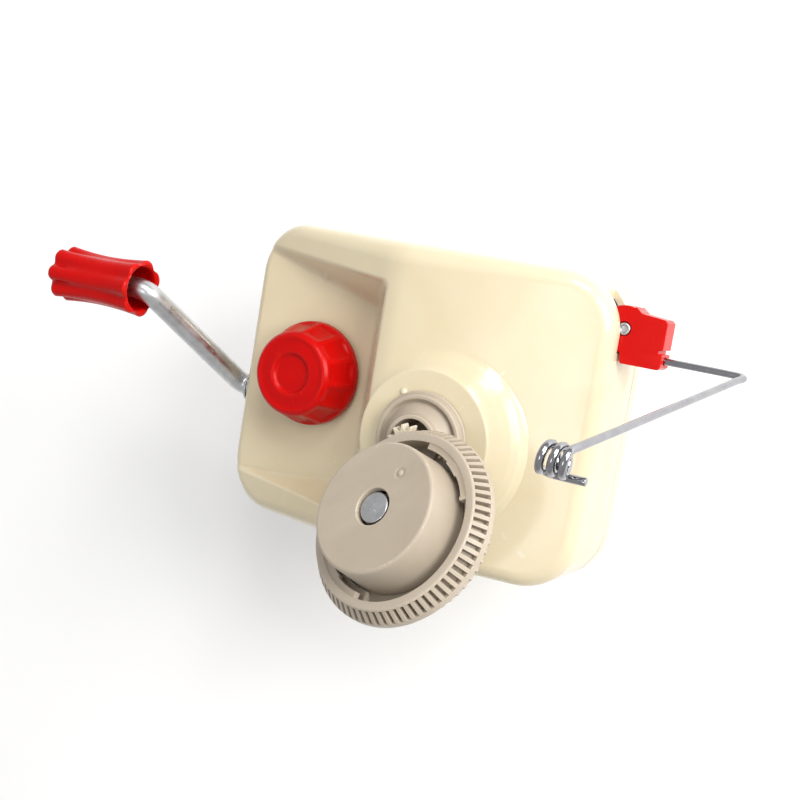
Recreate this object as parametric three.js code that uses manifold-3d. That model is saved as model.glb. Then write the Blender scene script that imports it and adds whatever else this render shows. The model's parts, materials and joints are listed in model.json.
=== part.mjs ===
// Hand-cranked yarn ball winder that clamps to the edge of a table.
// Millimetres, +Z up. The origin lies on the table face, on the main spindle axis.
// The crank leaves the casing at -X and the yarn guide stands at +X.

import * as THREE from 'three';
import Module from 'manifold-3d';
import { ConvexGeometry } from 'three/addons/geometries/ConvexGeometry.js';
import { mergeVertices } from 'three/addons/utils/BufferGeometryUtils.js';

const wasm = await Module();
wasm.setup();

// ---------------------------------------------------------------- driving dimensions

const DEG = Math.PI / 180;
const GAP = 0.3; // assembly clearance between neighbouring pieces

// Casing: outline on the table, wall, edge radii and the heights of its top.
const CASE = {
  left: -91.5, right: 57.7, front: -44.2, back: 66.8, corner: 20, wall: 2.4,
  split: 6, lowTop: 26, ridgeX: -22, ridgeTop: 46.5, endTop: 34.8,
  edgeLow: 4, edgeRidge: 7.5, edgeEnd: 5,
};
// Well for the clamp knob: the lines of its two long walls, at the floor and at ridge height.
const WELL = { end: -36.5, backLow: 57, backEnd: 42, frontLow: -31, frontEnd: -27, corner: 7 };
const WELL_RISE = { end: 12, backLow: 14, backEnd: 10.5, frontLow: 8.5, frontEnd: 8.5 };

const BOSS = { radius: 24.7, top: 48.2, bore: 14.7, seat: 37.5 };

// Carrier: the tilted spindle leans over the main axis and meets it at the apex.
const TILT = 29 * DEG;
const REST_ANGLE = -59 * DEG; // where the spindle stands round the main axis at rest
const APEX_TO_FACE = 39.6; // along the tilted axis, from the apex to the drum face
const APEX_Z = 130.4;
const SPINDLE_RADIUS = 3.9;

// Bobbin skirt, in the spindle's frame: its flat rim, widest edge and the slots round its flank.
const SKIRT = {
  rimIn: 27.8, rimOut: 30.6, rimZ: -11, edge: 34, floorTop: -17.2, floorBottom: -19.2,
  slots: 72, slotLength: 5.6, slotWidth: 1.35, slotDepth: 2.6, slotLean: 60 * DEG,
};
// Winding lugs inside the rim. Angles are in degrees round the spindle.
const LUG = { start: 86, span: 59, inner: 25.8, outer: 28.1, bottom: -13.2, top: -11.2 };

// Gear trains. Radii are pitch radii at the large end; a bevel narrows toward its apex.
const SUN = { teeth: 11, bottom: 57.9, top: 62.2, mid: 60.3, radius: 5.7 };
const RING = { teeth: 56, nearApex: 58.9, farApex: 66, midApex: 64.1, radius: 29 };
const WHEEL = { teeth: 34, radius: 17, bottom: 4, top: 7.2 };
const PINION = { teeth: 14, radius: 7 };
const CRANK_BEVEL = { teeth: 24, radius: 9, width: 2.2 };
const LAY_BEVEL = { teeth: 16, radius: 6 };
const LAY_X = -(WHEEL.radius + PINION.radius);

const CRANK = {
  radius: 4, z: 17.5, bend: 4.6, bendX: -97.5, gripX: -118.2, reachY: 33, reachZ: 43, end: -149.8,
};
const GRIP = { open: -119.8, length: 38.5, radius: 11, bore: 8, boreDepth: 14, bearing: 4.3, flutes: 7 };

const KNOB = { x: -59.6, y: 12, radius: 19.7, faceRadius: 15, height: 18.7, flutes: 12 };
const CLAMP = { gap: 25, boltRadius: 3, boltEnd: -50, plate: 3, pad: 3, left: -84, right: -18 };

const GUIDE = {
  pivotX: 58.5, pivotY: 50.3, pivotRadius: 8, bottom: 20, top: 29, right: 73.3, back: 56.4,
  wireY: 41.8, wireZ: 24.8,
};
// Yarn guide wire: elbow, start of the pigtail eye, its coil and the straight tail beneath it.
const WIRE = { radius: 1.25, elbowX: 101, eyeX: 85, eyeY: 21, eyeZ: 128 };
const EYE = { coil: 3.85, turns: 2.55, pitch: 3.4, tailReach: 6.6, tailAngle: 222 * DEG, tailEnd: 88.5 };

const COVER_SCREWS = [[-80, -29], [-80, 54], [42, -31], [36, 54]];

// ---------------------------------------------------------------- materials

const plastic = (color, roughness) => new THREE.MeshStandardMaterial({ color, roughness, metalness: 0 });
const metal = (color, roughness) => new THREE.MeshStandardMaterial({ color, roughness, metalness: 1 });

const cream = plastic(0xf0e6c0, 0.25);
const red = plastic(0xd9160f, 0.3);
const stone = plastic(0xb5a68f, 0.5);
const nylon = plastic(0xe9e4d3, 0.45);
const rubber = plastic(0x2b2b2b, 0.85);
const zinc = metal(0xb7bcc0, 0.35);
const chrome = metal(0xd5d8da, 0.15);
const bronze = metal(0xa8814e, 0.4);

// ---------------------------------------------------------------- solids

// A closed geometry as a solid: vertices merged, slivers dropped, faces turned outward.
function solid(geometry) {
  const bare = geometry.clone();
  bare.deleteAttribute('normal');
  bare.deleteAttribute('uv');
  const merged = mergeVertices(bare, 1e-4);
  const position = merged.attributes.position;
  const corner = (i) => new THREE.Vector3().fromBufferAttribute(position, i);
  const triangles = [];
  let volume = 0;
  for (let i = 0; i < merged.index.count; i += 3) {
    const [a, b, c] = [0, 1, 2].map((k) => merged.index.getX(i + k));
    if (a === b || b === c || c === a) continue;
    triangles.push([a, b, c]);
    volume += corner(a).dot(corner(b).cross(corner(c)));
  }
  const outward = volume > 0 ? triangles : triangles.map(([a, b, c]) => [a, c, b]);
  return new wasm.Manifold(new wasm.Mesh({
    numProp: 3,
    vertProperties: new Float32Array(position.array),
    triVerts: new Uint32Array(outward.flat()),
  }));
}

function geometryOf(shape) {
  const mesh = shape.getMesh();
  const geometry = new THREE.BufferGeometry();
  geometry.setAttribute('position', new THREE.BufferAttribute(mesh.vertProperties, 3));
  geometry.setIndex(new THREE.BufferAttribute(mesh.triVerts, 1));
  const faceted = geometry.toNonIndexed();
  faceted.computeVertexNormals();
  return faceted;
}

const join = (...parts) => parts.reduce((sum, part) => sum.add(part));
const cut = (body, ...tools) => tools.reduce((rest, tool) => rest.subtract(tool), body);

// A solid of revolution about Z. The profile is a list of [radius, z]; off the axis it is closed here.
function lathe(profile, segments = 24, place = [0, 0, 0]) {
  const points = profile.map(([radius, z]) => new THREE.Vector2(radius, z));
  if (profile[0][0] > 0) points.push(points[0].clone());
  return solid(new THREE.LatheGeometry(points, segments).rotateX(Math.PI / 2).translate(...place));
}

const rod = (radius, bottom, top, place = [0, 0, 0], segments = 16) => lathe(
  [[0, bottom], [radius, bottom], [radius, top], [0, top]], segments, place,
);

const tube = (inner, outer, bottom, top, place = [0, 0, 0], segments = 20) => lathe(
  [[inner, bottom], [outer, bottom], [outer, top], [inner, top]], segments, place,
);

function prism(shape, bottom, top, curveSegments = 5) {
  const depth = top - bottom;
  return solid(new THREE.ExtrudeGeometry(shape, { depth, bevelEnabled: false, curveSegments })
    .translate(0, 0, bottom));
}

function box(x0, x1, y0, y1, z0, z1) {
  return solid(new THREE.BoxGeometry(x1 - x0, y1 - y0, z1 - z0)
    .translate((x0 + x1) / 2, (y0 + y1) / 2, (z0 + z1) / 2));
}

// A rod along X, given by its ends and the height and side position of its axis.
const rodAlongX = (radius, x0, x1, y, z, segments = 16) => solid(
  new THREE.CylinderGeometry(radius, radius, x1 - x0, segments)
    .rotateZ(Math.PI / 2).translate((x0 + x1) / 2, y, z),
);

function rectangle(x0, x1, y0, y1, radius) {
  const shape = new THREE.Shape();
  shape.absarc(x1 - radius, y1 - radius, radius, 0, Math.PI / 2);
  shape.absarc(x0 + radius, y1 - radius, radius, Math.PI / 2, Math.PI);
  shape.absarc(x0 + radius, y0 + radius, radius, Math.PI, 1.5 * Math.PI);
  shape.absarc(x1 - radius, y0 + radius, radius, 1.5 * Math.PI, 2 * Math.PI);
  shape.closePath();
  return shape;
}

// A round wire along a path of corner points, each bend rounded to the given radius.
function bentWire(corners, bend, radius, sides, steps) {
  const points = corners.map((corner) => new THREE.Vector3(...corner));
  const path = new THREE.CurvePath();
  let start = points[0];
  for (let i = 1; i < points.length - 1; i += 1) {
    const before = points[i].clone().add(
      start.clone().sub(points[i]).setLength(bend),
    );
    const after = points[i].clone().add(points[i + 1].clone().sub(points[i]).setLength(bend));
    path.add(new THREE.LineCurve3(start, before));
    path.add(new THREE.QuadraticBezierCurve3(before, points[i], after));
    start = after;
  }
  path.add(new THREE.LineCurve3(start, points[points.length - 1]));
  return sweep(path, radius, sides, steps);
}

function sweep(extrudePath, radius, sides, steps) {
  const section = new THREE.Shape();
  for (let i = 0; i < sides; i += 1) {
    const angle = (i / sides) * 2 * Math.PI;
    const corner = [radius * Math.cos(angle), radius * Math.sin(angle)];
    if (i === 0) section.moveTo(...corner);
    else section.lineTo(...corner);
  }
  section.closePath();
  return solid(new THREE.ExtrudeGeometry(section, { steps, extrudePath, bevelEnabled: false }));
}

// Outline of a gear with straight-sided teeth, the first tooth (or gap) centred on +X.
function gearShape({ teeth, radius, addendum, dedendum, fill = 0.72, gapFirst = false }) {
  const step = (2 * Math.PI) / teeth;
  const half = (step / 4) * fill;
  const slope = Math.tan(20 * DEG) / radius;
  const flank = [
    [radius - dedendum, -half - slope * dedendum], [radius + addendum, -half + slope * addendum],
    [radius + addendum, half - slope * addendum], [radius - dedendum, half + slope * dedendum],
  ];
  const shape = new THREE.Shape();
  for (let i = 0; i < teeth; i += 1) {
    const centre = (i + (gapFirst ? 0.5 : 0)) * step;
    flank.forEach(([r, angle], k) => {
      const corner = [r * Math.cos(centre + angle), r * Math.sin(centre + angle)];
      if (i === 0 && k === 0) shape.moveTo(...corner);
      else shape.lineTo(...corner);
    });
  }
  shape.closePath();
  return shape;
}

// A bevel gear standing on its large end at z = 0; its teeth run to the apex at height `apex`.
function bevelGear(shape, apex, width) {
  const geometry = new THREE.ExtrudeGeometry(shape, { depth: width, bevelEnabled: false });
  const position = geometry.attributes.position;
  for (let i = 0; i < position.count; i += 1) {
    const scale = 1 - position.getZ(i) / apex;
    position.setXY(i, position.getX(i) * scale, position.getY(i) * scale);
  }
  return geometry;
}

function piece(name, shape, material, parent) {
  const mesh = new THREE.Mesh(geometryOf(shape), material);
  mesh.name = name;
  parent.add(mesh);
}

// ---------------------------------------------------------------- casing

// Height of the casing's top and the radius of its edge at a place along X.
function topAt(x) {
  if (x < CASE.ridgeX) {
    const part = (x - CASE.left) / (CASE.ridgeX - CASE.left);
    return CASE.lowTop + (CASE.ridgeTop - CASE.lowTop) * part;
  }
  const part = (x - CASE.ridgeX) / (CASE.right - CASE.ridgeX);
  return CASE.ridgeTop - (CASE.ridgeTop - CASE.endTop) * part ** 1.6;
}

function edgeAt(x) {
  if (x < CASE.ridgeX) {
    const part = (x - CASE.left) / (CASE.ridgeX - CASE.left);
    return CASE.edgeLow + (CASE.edgeRidge - CASE.edgeLow) * part;
  }
  const part = (x - CASE.ridgeX) / (CASE.right - CASE.ridgeX);
  return CASE.edgeRidge + (CASE.edgeEnd - CASE.edgeRidge) * part;
}

// Points round the casing's outline, drawn in by `inset`, as [x, y] with the outward direction.
function outline(inset) {
  const radius = CASE.corner;
  const stations = [-60, CASE.ridgeX, -5, 12, 25];
  const corners = [
    [CASE.right - radius, CASE.back - radius, 0], [CASE.left + radius, CASE.back - radius, 90],
    [CASE.left + radius, CASE.front + radius, 180], [CASE.right - radius, CASE.front + radius, 270],
  ];
  const points = [];
  corners.forEach(([cx, cy, from]) => {
    for (let turn = 0; turn <= 90; turn += 22.5) {
      const angle = (from + turn) * DEG;
      points.push({ x: cx, y: cy, dx: Math.cos(angle), dy: Math.sin(angle), reach: radius - inset });
    }
  });
  stations.forEach((x) => {
    points.push({ x, y: CASE.back - radius, dx: 0, dy: 1, reach: radius - inset });
    points.push({ x, y: CASE.front + radius, dx: 0, dy: -1, reach: radius - inset });
  });
  return points;
}

// The casing's full outer form, or the form drawn in by `inset` for the hollow inside it.
function caseForm(inset, bottom, edgeStep) {
  const points = [];
  outline(inset).forEach(({ x, y, dx, dy, reach }) => {
    points.push(new THREE.Vector3(x + dx * reach, y + dy * reach, bottom));
    const px = x + dx * reach;
    const edge = Math.max(edgeAt(px) - inset, 1);
    for (let turn = 0; turn <= 90; turn += edgeStep) {
      const drawn = edge * (1 - Math.cos(turn * DEG));
      const top = topAt(px) - inset - edge * (1 - Math.sin(turn * DEG));
      points.push(new THREE.Vector3(x + dx * (reach - drawn), y + dy * (reach - drawn), top));
    }
  });
  return solid(new ConvexGeometry(points));
}

// The drafted well round the knob, grown by `grow` for the shell that lines it.
function wellForm(grow) {
  const floor = CASE.lowTop - grow;
  const left = CASE.left - 30;
  const ring = (rise, z) => {
    const end = WELL.end + rise * WELL_RISE.end + grow;
    const slopeOf = (low, last) => (last - low) / (WELL.end - CASE.left);
    const backSlope = slopeOf(WELL.backLow, WELL.backEnd);
    const frontSlope = slopeOf(WELL.frontLow, WELL.frontEnd);
    const backAt = (x) => WELL.backLow + rise * WELL_RISE.backLow + backSlope * (x - CASE.left) + grow;
    const frontAt = (x) => WELL.frontLow - rise * WELL_RISE.frontLow + frontSlope * (x - CASE.left) - grow;
    const points = [[left, backAt(left)], [left, frontAt(left)]];
    for (let turn = 0; turn <= 90; turn += 30) {
      const across = WELL.corner * (1 - Math.cos(turn * DEG));
      const along = WELL.corner * (1 - Math.sin(turn * DEG));
      points.push([end - across, backAt(end) - along], [end - across, frontAt(end) + along]);
    }
    return points.map(([x, y]) => new THREE.Vector3(x, y, z));
  };
  const height = CASE.ridgeTop - CASE.lowTop;
  return solid(new ConvexGeometry([
    ...ring(-grow / height, floor), ...ring(2, CASE.lowTop + 2 * height),
  ]));
}

function frontCover() {
  const bottom = CASE.split + GAP;
  const boss = lathe([
    [0, 20], [BOSS.bore + 4, 20], [BOSS.bore + 4, 38], [36, 38], [33.5, 43.5], [29, 46], [26.3, 47.4],
    [BOSS.radius, BOSS.top], [0, BOSS.top],
  ], 32);
  const outer = cut(caseForm(0, bottom, 30), wellForm(0));
  const inner = cut(caseForm(CASE.wall, bottom - 5, 90), wellForm(CASE.wall));
  const columns = COVER_SCREWS.map(([x, y]) => rod(4, 4.8, 60, [x, y, 0], 10));
  const pocketLining = box(47.6, 60, 39.4, 70, 17.2, 40);
  const knobSleeve = rod(6.5, 9, CASE.lowTop + 5, [KNOB.x, KNOB.y, 0]);
  const inside = [...columns, pocketLining, knobSleeve].map((part) => part.intersect(outer));
  const shaftBoss = rodAlongX(8.2, CASE.left + 1, CASE.left + 6, 0, CRANK.z).intersect(outer);
  const lug = join(
    rod(5.5, 15.8, GUIDE.bottom - 0.4, [GUIDE.pivotX, GUIDE.pivotY, 0]),
    box(48.5, GUIDE.pivotX, GUIDE.pivotY - 5.5, GUIDE.pivotY + 5.5, 15.8, GUIDE.bottom - 0.4),
  );
  const flare = cut(rod(36, 38, 60), wellForm(0));
  const raisedBoss = boss.intersect(join(outer, flare, rod(BOSS.radius + 1, 20, 60)));
  const shell = join(cut(outer, inner), raisedBoss, ...inside, shaftBoss, lug);
  const pocket = box(50, 80, 41.6, 90, GUIDE.bottom - 0.4, GUIDE.top + 0.4);
  const pilots = COVER_SCREWS.map(([x, y]) => rod(1.7, 0, 15, [x, y, 0], 10));
  return cut(
    shell, pocket, ...pilots,
    rod(BOSS.bore, BOSS.seat, 60, [0, 0, 0], 32), rod(12.6, 10, 60, [0, 0, 0], 32),
    rod(CLAMP.boltRadius + 0.5, 0, 60, [KNOB.x, KNOB.y, 0]),
    rodAlongX(6.1, CASE.left - 5, CASE.left + 8, 0, CRANK.z),
    rod(2, 10, 30, [GUIDE.pivotX, GUIDE.pivotY, 0]),
  );
}

function backCover() {
  const top = CASE.split;
  const { left, right, front, back, corner, wall } = CASE;
  const tray = prism(rectangle(left, right, front, back, corner), 0, top);
  const hollow = prism(
    rectangle(left + wall, right - wall, front + wall, back - wall, corner - wall), 3, 60,
  );
  const pads = COVER_SCREWS.map(([x, y]) => rod(5, 0, 4.4, [x, y, 0], 10));
  const cuts = COVER_SCREWS.flatMap(([x, y]) => [
    rod(1.7, -1, 20, [x, y, 0], 10), rod(3.3, -1, 2.4, [x, y, 0], 10),
  ]);
  return cut(
    join(cut(tray, hollow), ...pads), ...cuts,
    rod(2.8, 0.8, 20), rod(2.3, 0.8, 20, [LAY_X, 0, 0]),
    rod(CLAMP.boltRadius + 0.5, -1, 20, [KNOB.x, KNOB.y, 0]),
    box(CLAMP.left - 0.6, CLAMP.left + CLAMP.plate + 0.6, KNOB.y - 6.6, KNOB.y + 6.6, -1, 20),
  );
}

function coverScrew(x, y) {
  return lathe([[0, 0.4], [2.9, 0.4], [2.9, 2.1], [1.4, 2.1], [1.4, 13.5], [0, 14.3]], 10, [x, y, 0]);
}

// ---------------------------------------------------------------- table clamp

function clampKnob() {
  const { x, y, radius, faceRadius, height, flutes } = KNOB;
  const bottom = CASE.lowTop + 1.6;
  const top = bottom + height - 1.6;
  const body = lathe([
    [0, bottom], [radius, bottom], [radius, bottom + 4], [faceRadius + 2, top - 2.6],
    [faceRadius, top], [7.9, top], [7.5, top - 1.2], [0, top - 1.2],
  ], 24, [x, y, 0]);
  const scallop = new THREE.CylinderGeometry(2.6, 2.6, 22, 6).rotateX(Math.PI / 2);
  const grooves = [];
  for (let i = 0; i < flutes; i += 1) {
    const lean = Math.atan2(radius - faceRadius - 1.5, height - 7);
    grooves.push(solid(scallop.clone().rotateY(-lean).translate(radius + 0.3, 0, (bottom + top) / 2 + 4)
      .rotateZ((i / flutes) * 2 * Math.PI).translate(x, y, 0)));
  }
  const core = rod(4.3, bottom - 1, bottom + 6.4, [x, y, 0], 6);
  return cut(body, ...grooves, core, rod(CLAMP.boltRadius + GAP, bottom - 1, bottom + 14, [x, y, 0]));
}

// Bolt with a hexagon head low in the knob and a spigot above it.
function clampBolt() {
  const head = CASE.lowTop + 2.2;
  return join(
    rod(CLAMP.boltRadius, CLAMP.boltEnd, head + 12.8, [KNOB.x, KNOB.y, 0]),
    rod(4, head, head + 5.2, [KNOB.x, KNOB.y, 0], 6),
  );
}

function knobWasher() {
  return tube(CLAMP.boltRadius + GAP, 9, CASE.lowTop + GAP, CASE.lowTop + 1.3, [KNOB.x, KNOB.y, 0]);
}

// Bent plate: the long leg lies under the table, the short one slides in a slot of the casing.
function clampJaw() {
  const { gap, plate, pad, left, right, boltRadius } = CLAMP;
  const top = -gap - pad - GAP;
  const leg = prism(rectangle(left, right, KNOB.y - 12, KNOB.y + 12, 4), top - plate, top);
  const tab = box(left, left + plate, KNOB.y - 6, KNOB.y + 6, top - plate, 12);
  return cut(join(leg, tab), rod(boltRadius + GAP, -80, 0, [KNOB.x, KNOB.y, 0]));
}

function jawNut() {
  const top = -CLAMP.gap - CLAMP.pad - CLAMP.plate - 2 * GAP;
  return cut(
    rod(7, top - 6, top, [KNOB.x, KNOB.y, 0], 6),
    rod(CLAMP.boltRadius + GAP, -80, 0, [KNOB.x, KNOB.y, 0]),
  );
}

function jawPad() {
  const { gap, pad, right } = CLAMP;
  return prism(rectangle(right - 32, right, KNOB.y - 12, KNOB.y + 12, 4), -gap - pad, -gap);
}

// ---------------------------------------------------------------- crank and first gears

function crankRod() {
  const { radius, z, bend, bendX, gripX, reachY, reachZ, end } = CRANK;
  const shaftEnd = LAY_X - LAY_BEVEL.radius + CRANK_BEVEL.width + 1;
  const rodShape = bentWire(
    [[shaftEnd, 0, z], [bendX, 0, z], [gripX, reachY, z + reachZ], [end, reachY, z + reachZ]],
    bend, radius, 12, 36,
  );
  return cut(rodShape, crossPin(1.5, 12));
}

function crossPin(radius, halfLength) {
  return solid(new THREE.CylinderGeometry(radius, radius, 2 * halfLength, 8)
    .translate(LAY_X - LAY_BEVEL.radius - 3, 0, CRANK.z));
}

function crankGear() {
  const shape = gearShape({ ...CRANK_BEVEL, addendum: 0.85, dedendum: 1.3 });
  const bevel = bevelGear(shape, LAY_BEVEL.radius, CRANK_BEVEL.width);
  bevel.rotateY(Math.PI / 2).translate(LAY_X - LAY_BEVEL.radius, 0, CRANK.z);
  const base = LAY_X - LAY_BEVEL.radius;
  return cut(
    join(solid(bevel), rodAlongX(5.9, base - 6, base + 0.1, 0, CRANK.z)),
    rodAlongX(CRANK.radius + GAP, base - 10, base + 10, 0, CRANK.z), crossPin(1.5, 12),
  );
}

// Spur wheel and bevel pinion in one moulding, turning on the lay axle.
function layGear() {
  const bevelBottom = CRANK.z - CRANK_BEVEL.radius;
  const shape = gearShape({ ...LAY_BEVEL, addendum: 0.55, dedendum: 0.95, gapFirst: true });
  const bevel = bevelGear(shape, CRANK_BEVEL.radius, 3.3).rotateZ(Math.PI).translate(LAY_X, 0, bevelBottom);
  const wheelShape = gearShape({ ...WHEEL, addendum: 0.8, dedendum: 1.2 });
  const depth = WHEEL.top - WHEEL.bottom;
  const wheel = new THREE.ExtrudeGeometry(wheelShape, { depth, bevelEnabled: false })
    .translate(LAY_X, 0, WHEEL.bottom);
  const hub = rod(5, WHEEL.top - 1, bevelBottom + 0.1, [LAY_X, 0, 0]);
  const web = tube(8, 13.6, WHEEL.top - 1, WHEEL.top + 1, [LAY_X, 0, 0], 16);
  return cut(join(solid(wheel), hub, solid(bevel)), web, rod(2.3, 0, 20, [LAY_X, 0, 0]));
}

function layAxle() {
  return lathe([[0, 1.1], [2, 1.1], [2, 12.9], [1.6, 12.9], [1.6, 13.7], [2, 13.7], [2, 14.6], [0, 14.6]],
    12, [LAY_X, 0, 0]);
}

function bearingBlock() {
  const z = CRANK.z;
  const body = box(-50, -43, -9, 9, 3.3, z + 3.6);
  const slot = box(-60, -30, -CRANK.radius - GAP, CRANK.radius + GAP, z, z + 20);
  return cut(body, rodAlongX(CRANK.radius + GAP, -60, -30, 0, z), slot);
}

// ---------------------------------------------------------------- main spindle

function sunPost() {
  return lathe([
    [0, 1.1], [2.5, 1.1], [2.5, 3.3], [5, 3.3], [5, 3.7], [2.5, 3.7], [2.5, SUN.top - 0.4],
    [2.1, SUN.top], [0, SUN.top],
  ], 16);
}

function sunPinion() {
  const apex = APEX_Z - SUN.bottom;
  const radius = (SUN.radius * apex) / (APEX_Z - SUN.mid);
  const shape = gearShape({ teeth: SUN.teeth, radius, addendum: 0.75, dedendum: 1.25, fill: 0.7 });
  const bevel = bevelGear(shape, apex, SUN.top - SUN.bottom).rotateZ(REST_ANGLE).translate(0, 0, SUN.bottom);
  return cut(solid(bevel), rod(2.8, SUN.bottom - 1, SUN.top + 1));
}

function hubBush() {
  return tube(12.6, BOSS.bore - GAP, BOSS.seat + GAP, BOSS.top - 0.6, [0, 0, 0], 32);
}

function carrierPinion() {
  const shape = gearShape({ ...PINION, addendum: 0.8, dedendum: 1.2, gapFirst: true });
  const depth = WHEEL.top - WHEEL.bottom;
  const wheel = new THREE.ExtrudeGeometry(shape, { depth, bevelEnabled: false })
    .rotateZ(Math.PI - REST_ANGLE).translate(0, 0, WHEEL.bottom);
  return cut(solid(wheel), rod(4.5, 0, 20));
}

// Hollow hub with its cup and, cast on it, the arm that carries the tilted spindle.
function carrierHub() {
  const hub = lathe([
    [2.9, WHEEL.bottom], [4.2, WHEEL.bottom], [4.2, WHEEL.top + 0.5], [6, WHEEL.top + 0.5], [6, 36.5],
    [12.3, 36.5], [12.3, 48.7], [16.2, 48.7], [16.2, 52.5], [14.4, 52.5], [13, 50], [9.4, 54.6],
    [9.4, 57], [7.9, 57], [7.9, 40], [2.9, 37],
  ], 28);
  const seat = spindlePoint(-28.6);
  const foot = spindlePoint(-38);
  const armShape = new THREE.Shape();
  const width = 8;
  armShape.moveTo(12.5, -width);
  armShape.lineTo(foot.x, -width);
  armShape.absarc(foot.x, 0, width, -Math.PI / 2, Math.PI / 2);
  armShape.lineTo(12.5, width);
  armShape.closePath();
  const plan = prism(armShape, 40, 90);
  const side = new THREE.Shape();
  side.moveTo(12.5, 48.9);
  side.lineTo(18, 48.9);
  side.lineTo(foot.x + 8, foot.z + 1.5);
  side.lineTo(foot.x + 8, foot.z + 8);
  side.lineTo(12.5, 52.2);
  side.closePath();
  const web = solid(new THREE.ExtrudeGeometry(side, { depth: 16, bevelEnabled: false })
    .rotateX(Math.PI / 2).translate(0, 8, 0));
  const socket = solid(new THREE.CylinderGeometry(7.6, 8.2, seat.distanceTo(foot), 20)
    .rotateX(Math.PI / 2).rotateY(-TILT)
    .translate((seat.x + foot.x) / 2, 0, (seat.z + foot.z) / 2));
  const bore = alongSpindle(rod(SPINDLE_RADIUS + 0.35, -60, 10));
  const cupHollow = rod(15.9, 52.7, 60, [0, 0, 0], 28);
  const gearSwing = alongSpindle(rod(32.5, -27, 10, [0, 0, 0], 24));
  const footFace = alongSpindle(rod(9.5, -70, -37.8));
  return cut(join(hub, cut(join(web.intersect(plan), socket), gearSwing, cupHollow)), bore, footFace);
}

// A point on the tilted axis, `s` above the drum face, in the carrier's own frame.
function spindlePoint(s) {
  const fromApex = APEX_TO_FACE - s;
  return new THREE.Vector3(Math.sin(TILT) * fromApex, 0, APEX_Z - Math.cos(TILT) * fromApex);
}

// A solid drawn along the tilted axis (drum face at z = 0), moved into the carrier's frame.
function alongSpindle(shape) {
  const face = spindlePoint(0);
  return solid(geometryOf(shape).rotateY(-TILT).translate(face.x, face.y, face.z));
}

// ---------------------------------------------------------------- bobbin, in the spindle's frame

function arcBlock(inner, outer, from, to, bottom, top) {
  const shape = new THREE.Shape();
  shape.absarc(0, 0, outer, from * DEG, to * DEG, false);
  shape.absarc(0, 0, inner, to * DEG, from * DEG, true);
  shape.closePath();
  return prism(shape, bottom, top, 4);
}

// A plate inside the rim, with a step midway along it and a hook at its first end.
function windingLug(from) {
  const { span, inner, outer, bottom, top } = LUG;
  const plate = (reach, start, end) => arcBlock(reach, outer, from + start, from + end, bottom, top);
  return join(plate(inner, 0, span), plate(inner - 0.6, 21, 36), plate(inner - 0.4, 0, 3));
}

function bobbinWheel() {
  const { rimIn, rimOut, rimZ, edge, floorTop, floorBottom, slots } = SKIRT;
  const crownIn = 24.2;
  const apexOf = (distance) => APEX_TO_FACE - distance;
  const body = lathe([
    [4.3, -26.3], [8, -26.3], [8, -21], [22, -20], [22, -25.6], [24, -25.6], [24, floorBottom],
    [edge - 0.3, floorBottom], [edge, -17.8], [edge - 0.5, -15.5], [rimOut, rimZ], [rimIn, rimZ],
    [rimIn, floorTop], [6, floorTop], [6, -4], [4.3, -4],
  ], 30);
  const radius = (RING.radius * RING.farApex) / RING.midApex;
  const toothShape = gearShape({ teeth: RING.teeth, radius, addendum: 0.7, dedendum: 1.3, gapFirst: true });
  const teeth = solid(bevelGear(toothShape, RING.farApex, RING.farApex - RING.nearApex)
    .rotateZ(Math.PI).translate(0, 0, apexOf(RING.farApex)));
  const crown = cut(teeth, rod(23, -40, 0, [0, 0, 0], 24));
  const starts = [LUG.start, LUG.start - 180];
  const windows = starts.map((from) => (
    arcBlock(crownIn, crownIn + 2, from - 1, from + LUG.span + 2, -30, floorTop + 2)
  ));
  const slot = new THREE.BoxGeometry(SKIRT.slotLength, SKIRT.slotWidth, SKIRT.slotDepth)
    .rotateY(SKIRT.slotLean).translate(32.5, 0, -13.95);
  const cuts = [];
  for (let i = 0; i < slots; i += 1) {
    cuts.push(solid(slot.clone().rotateZ(((i + 0.5) / slots) * 2 * Math.PI)));
  }
  return join(cut(join(body, crown), ...windows, ...cuts), ...starts.map(windingLug));
}

function bobbinDrum() {
  return lathe([
    [6.3, -2.6], [20.2, -2.6], [21.2, -16.8], [23.6, -16.8], [22.6, -1.2],
    [21.4, 0], [6.3, 0],
  ], 28);
}

function spindlePin() {
  return lathe([
    [0, -39.5], [3, -39.5], [3, -38.7], [2.4, -38.7], [2.4, -37.9], [SPINDLE_RADIUS, -37.9],
    [SPINDLE_RADIUS, -3.6], [5.3, -3.6], [5.3, -1.2], [4.7, -0.6], [0, -0.6],
  ], 16);
}

const thrustWasher = () => tube(SPINDLE_RADIUS + 0.35, 7.2, -27.9, -26.9);
const spindleClip = () => tube(2.7, 5.2, -38.6, -38);

// ---------------------------------------------------------------- grip

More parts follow.
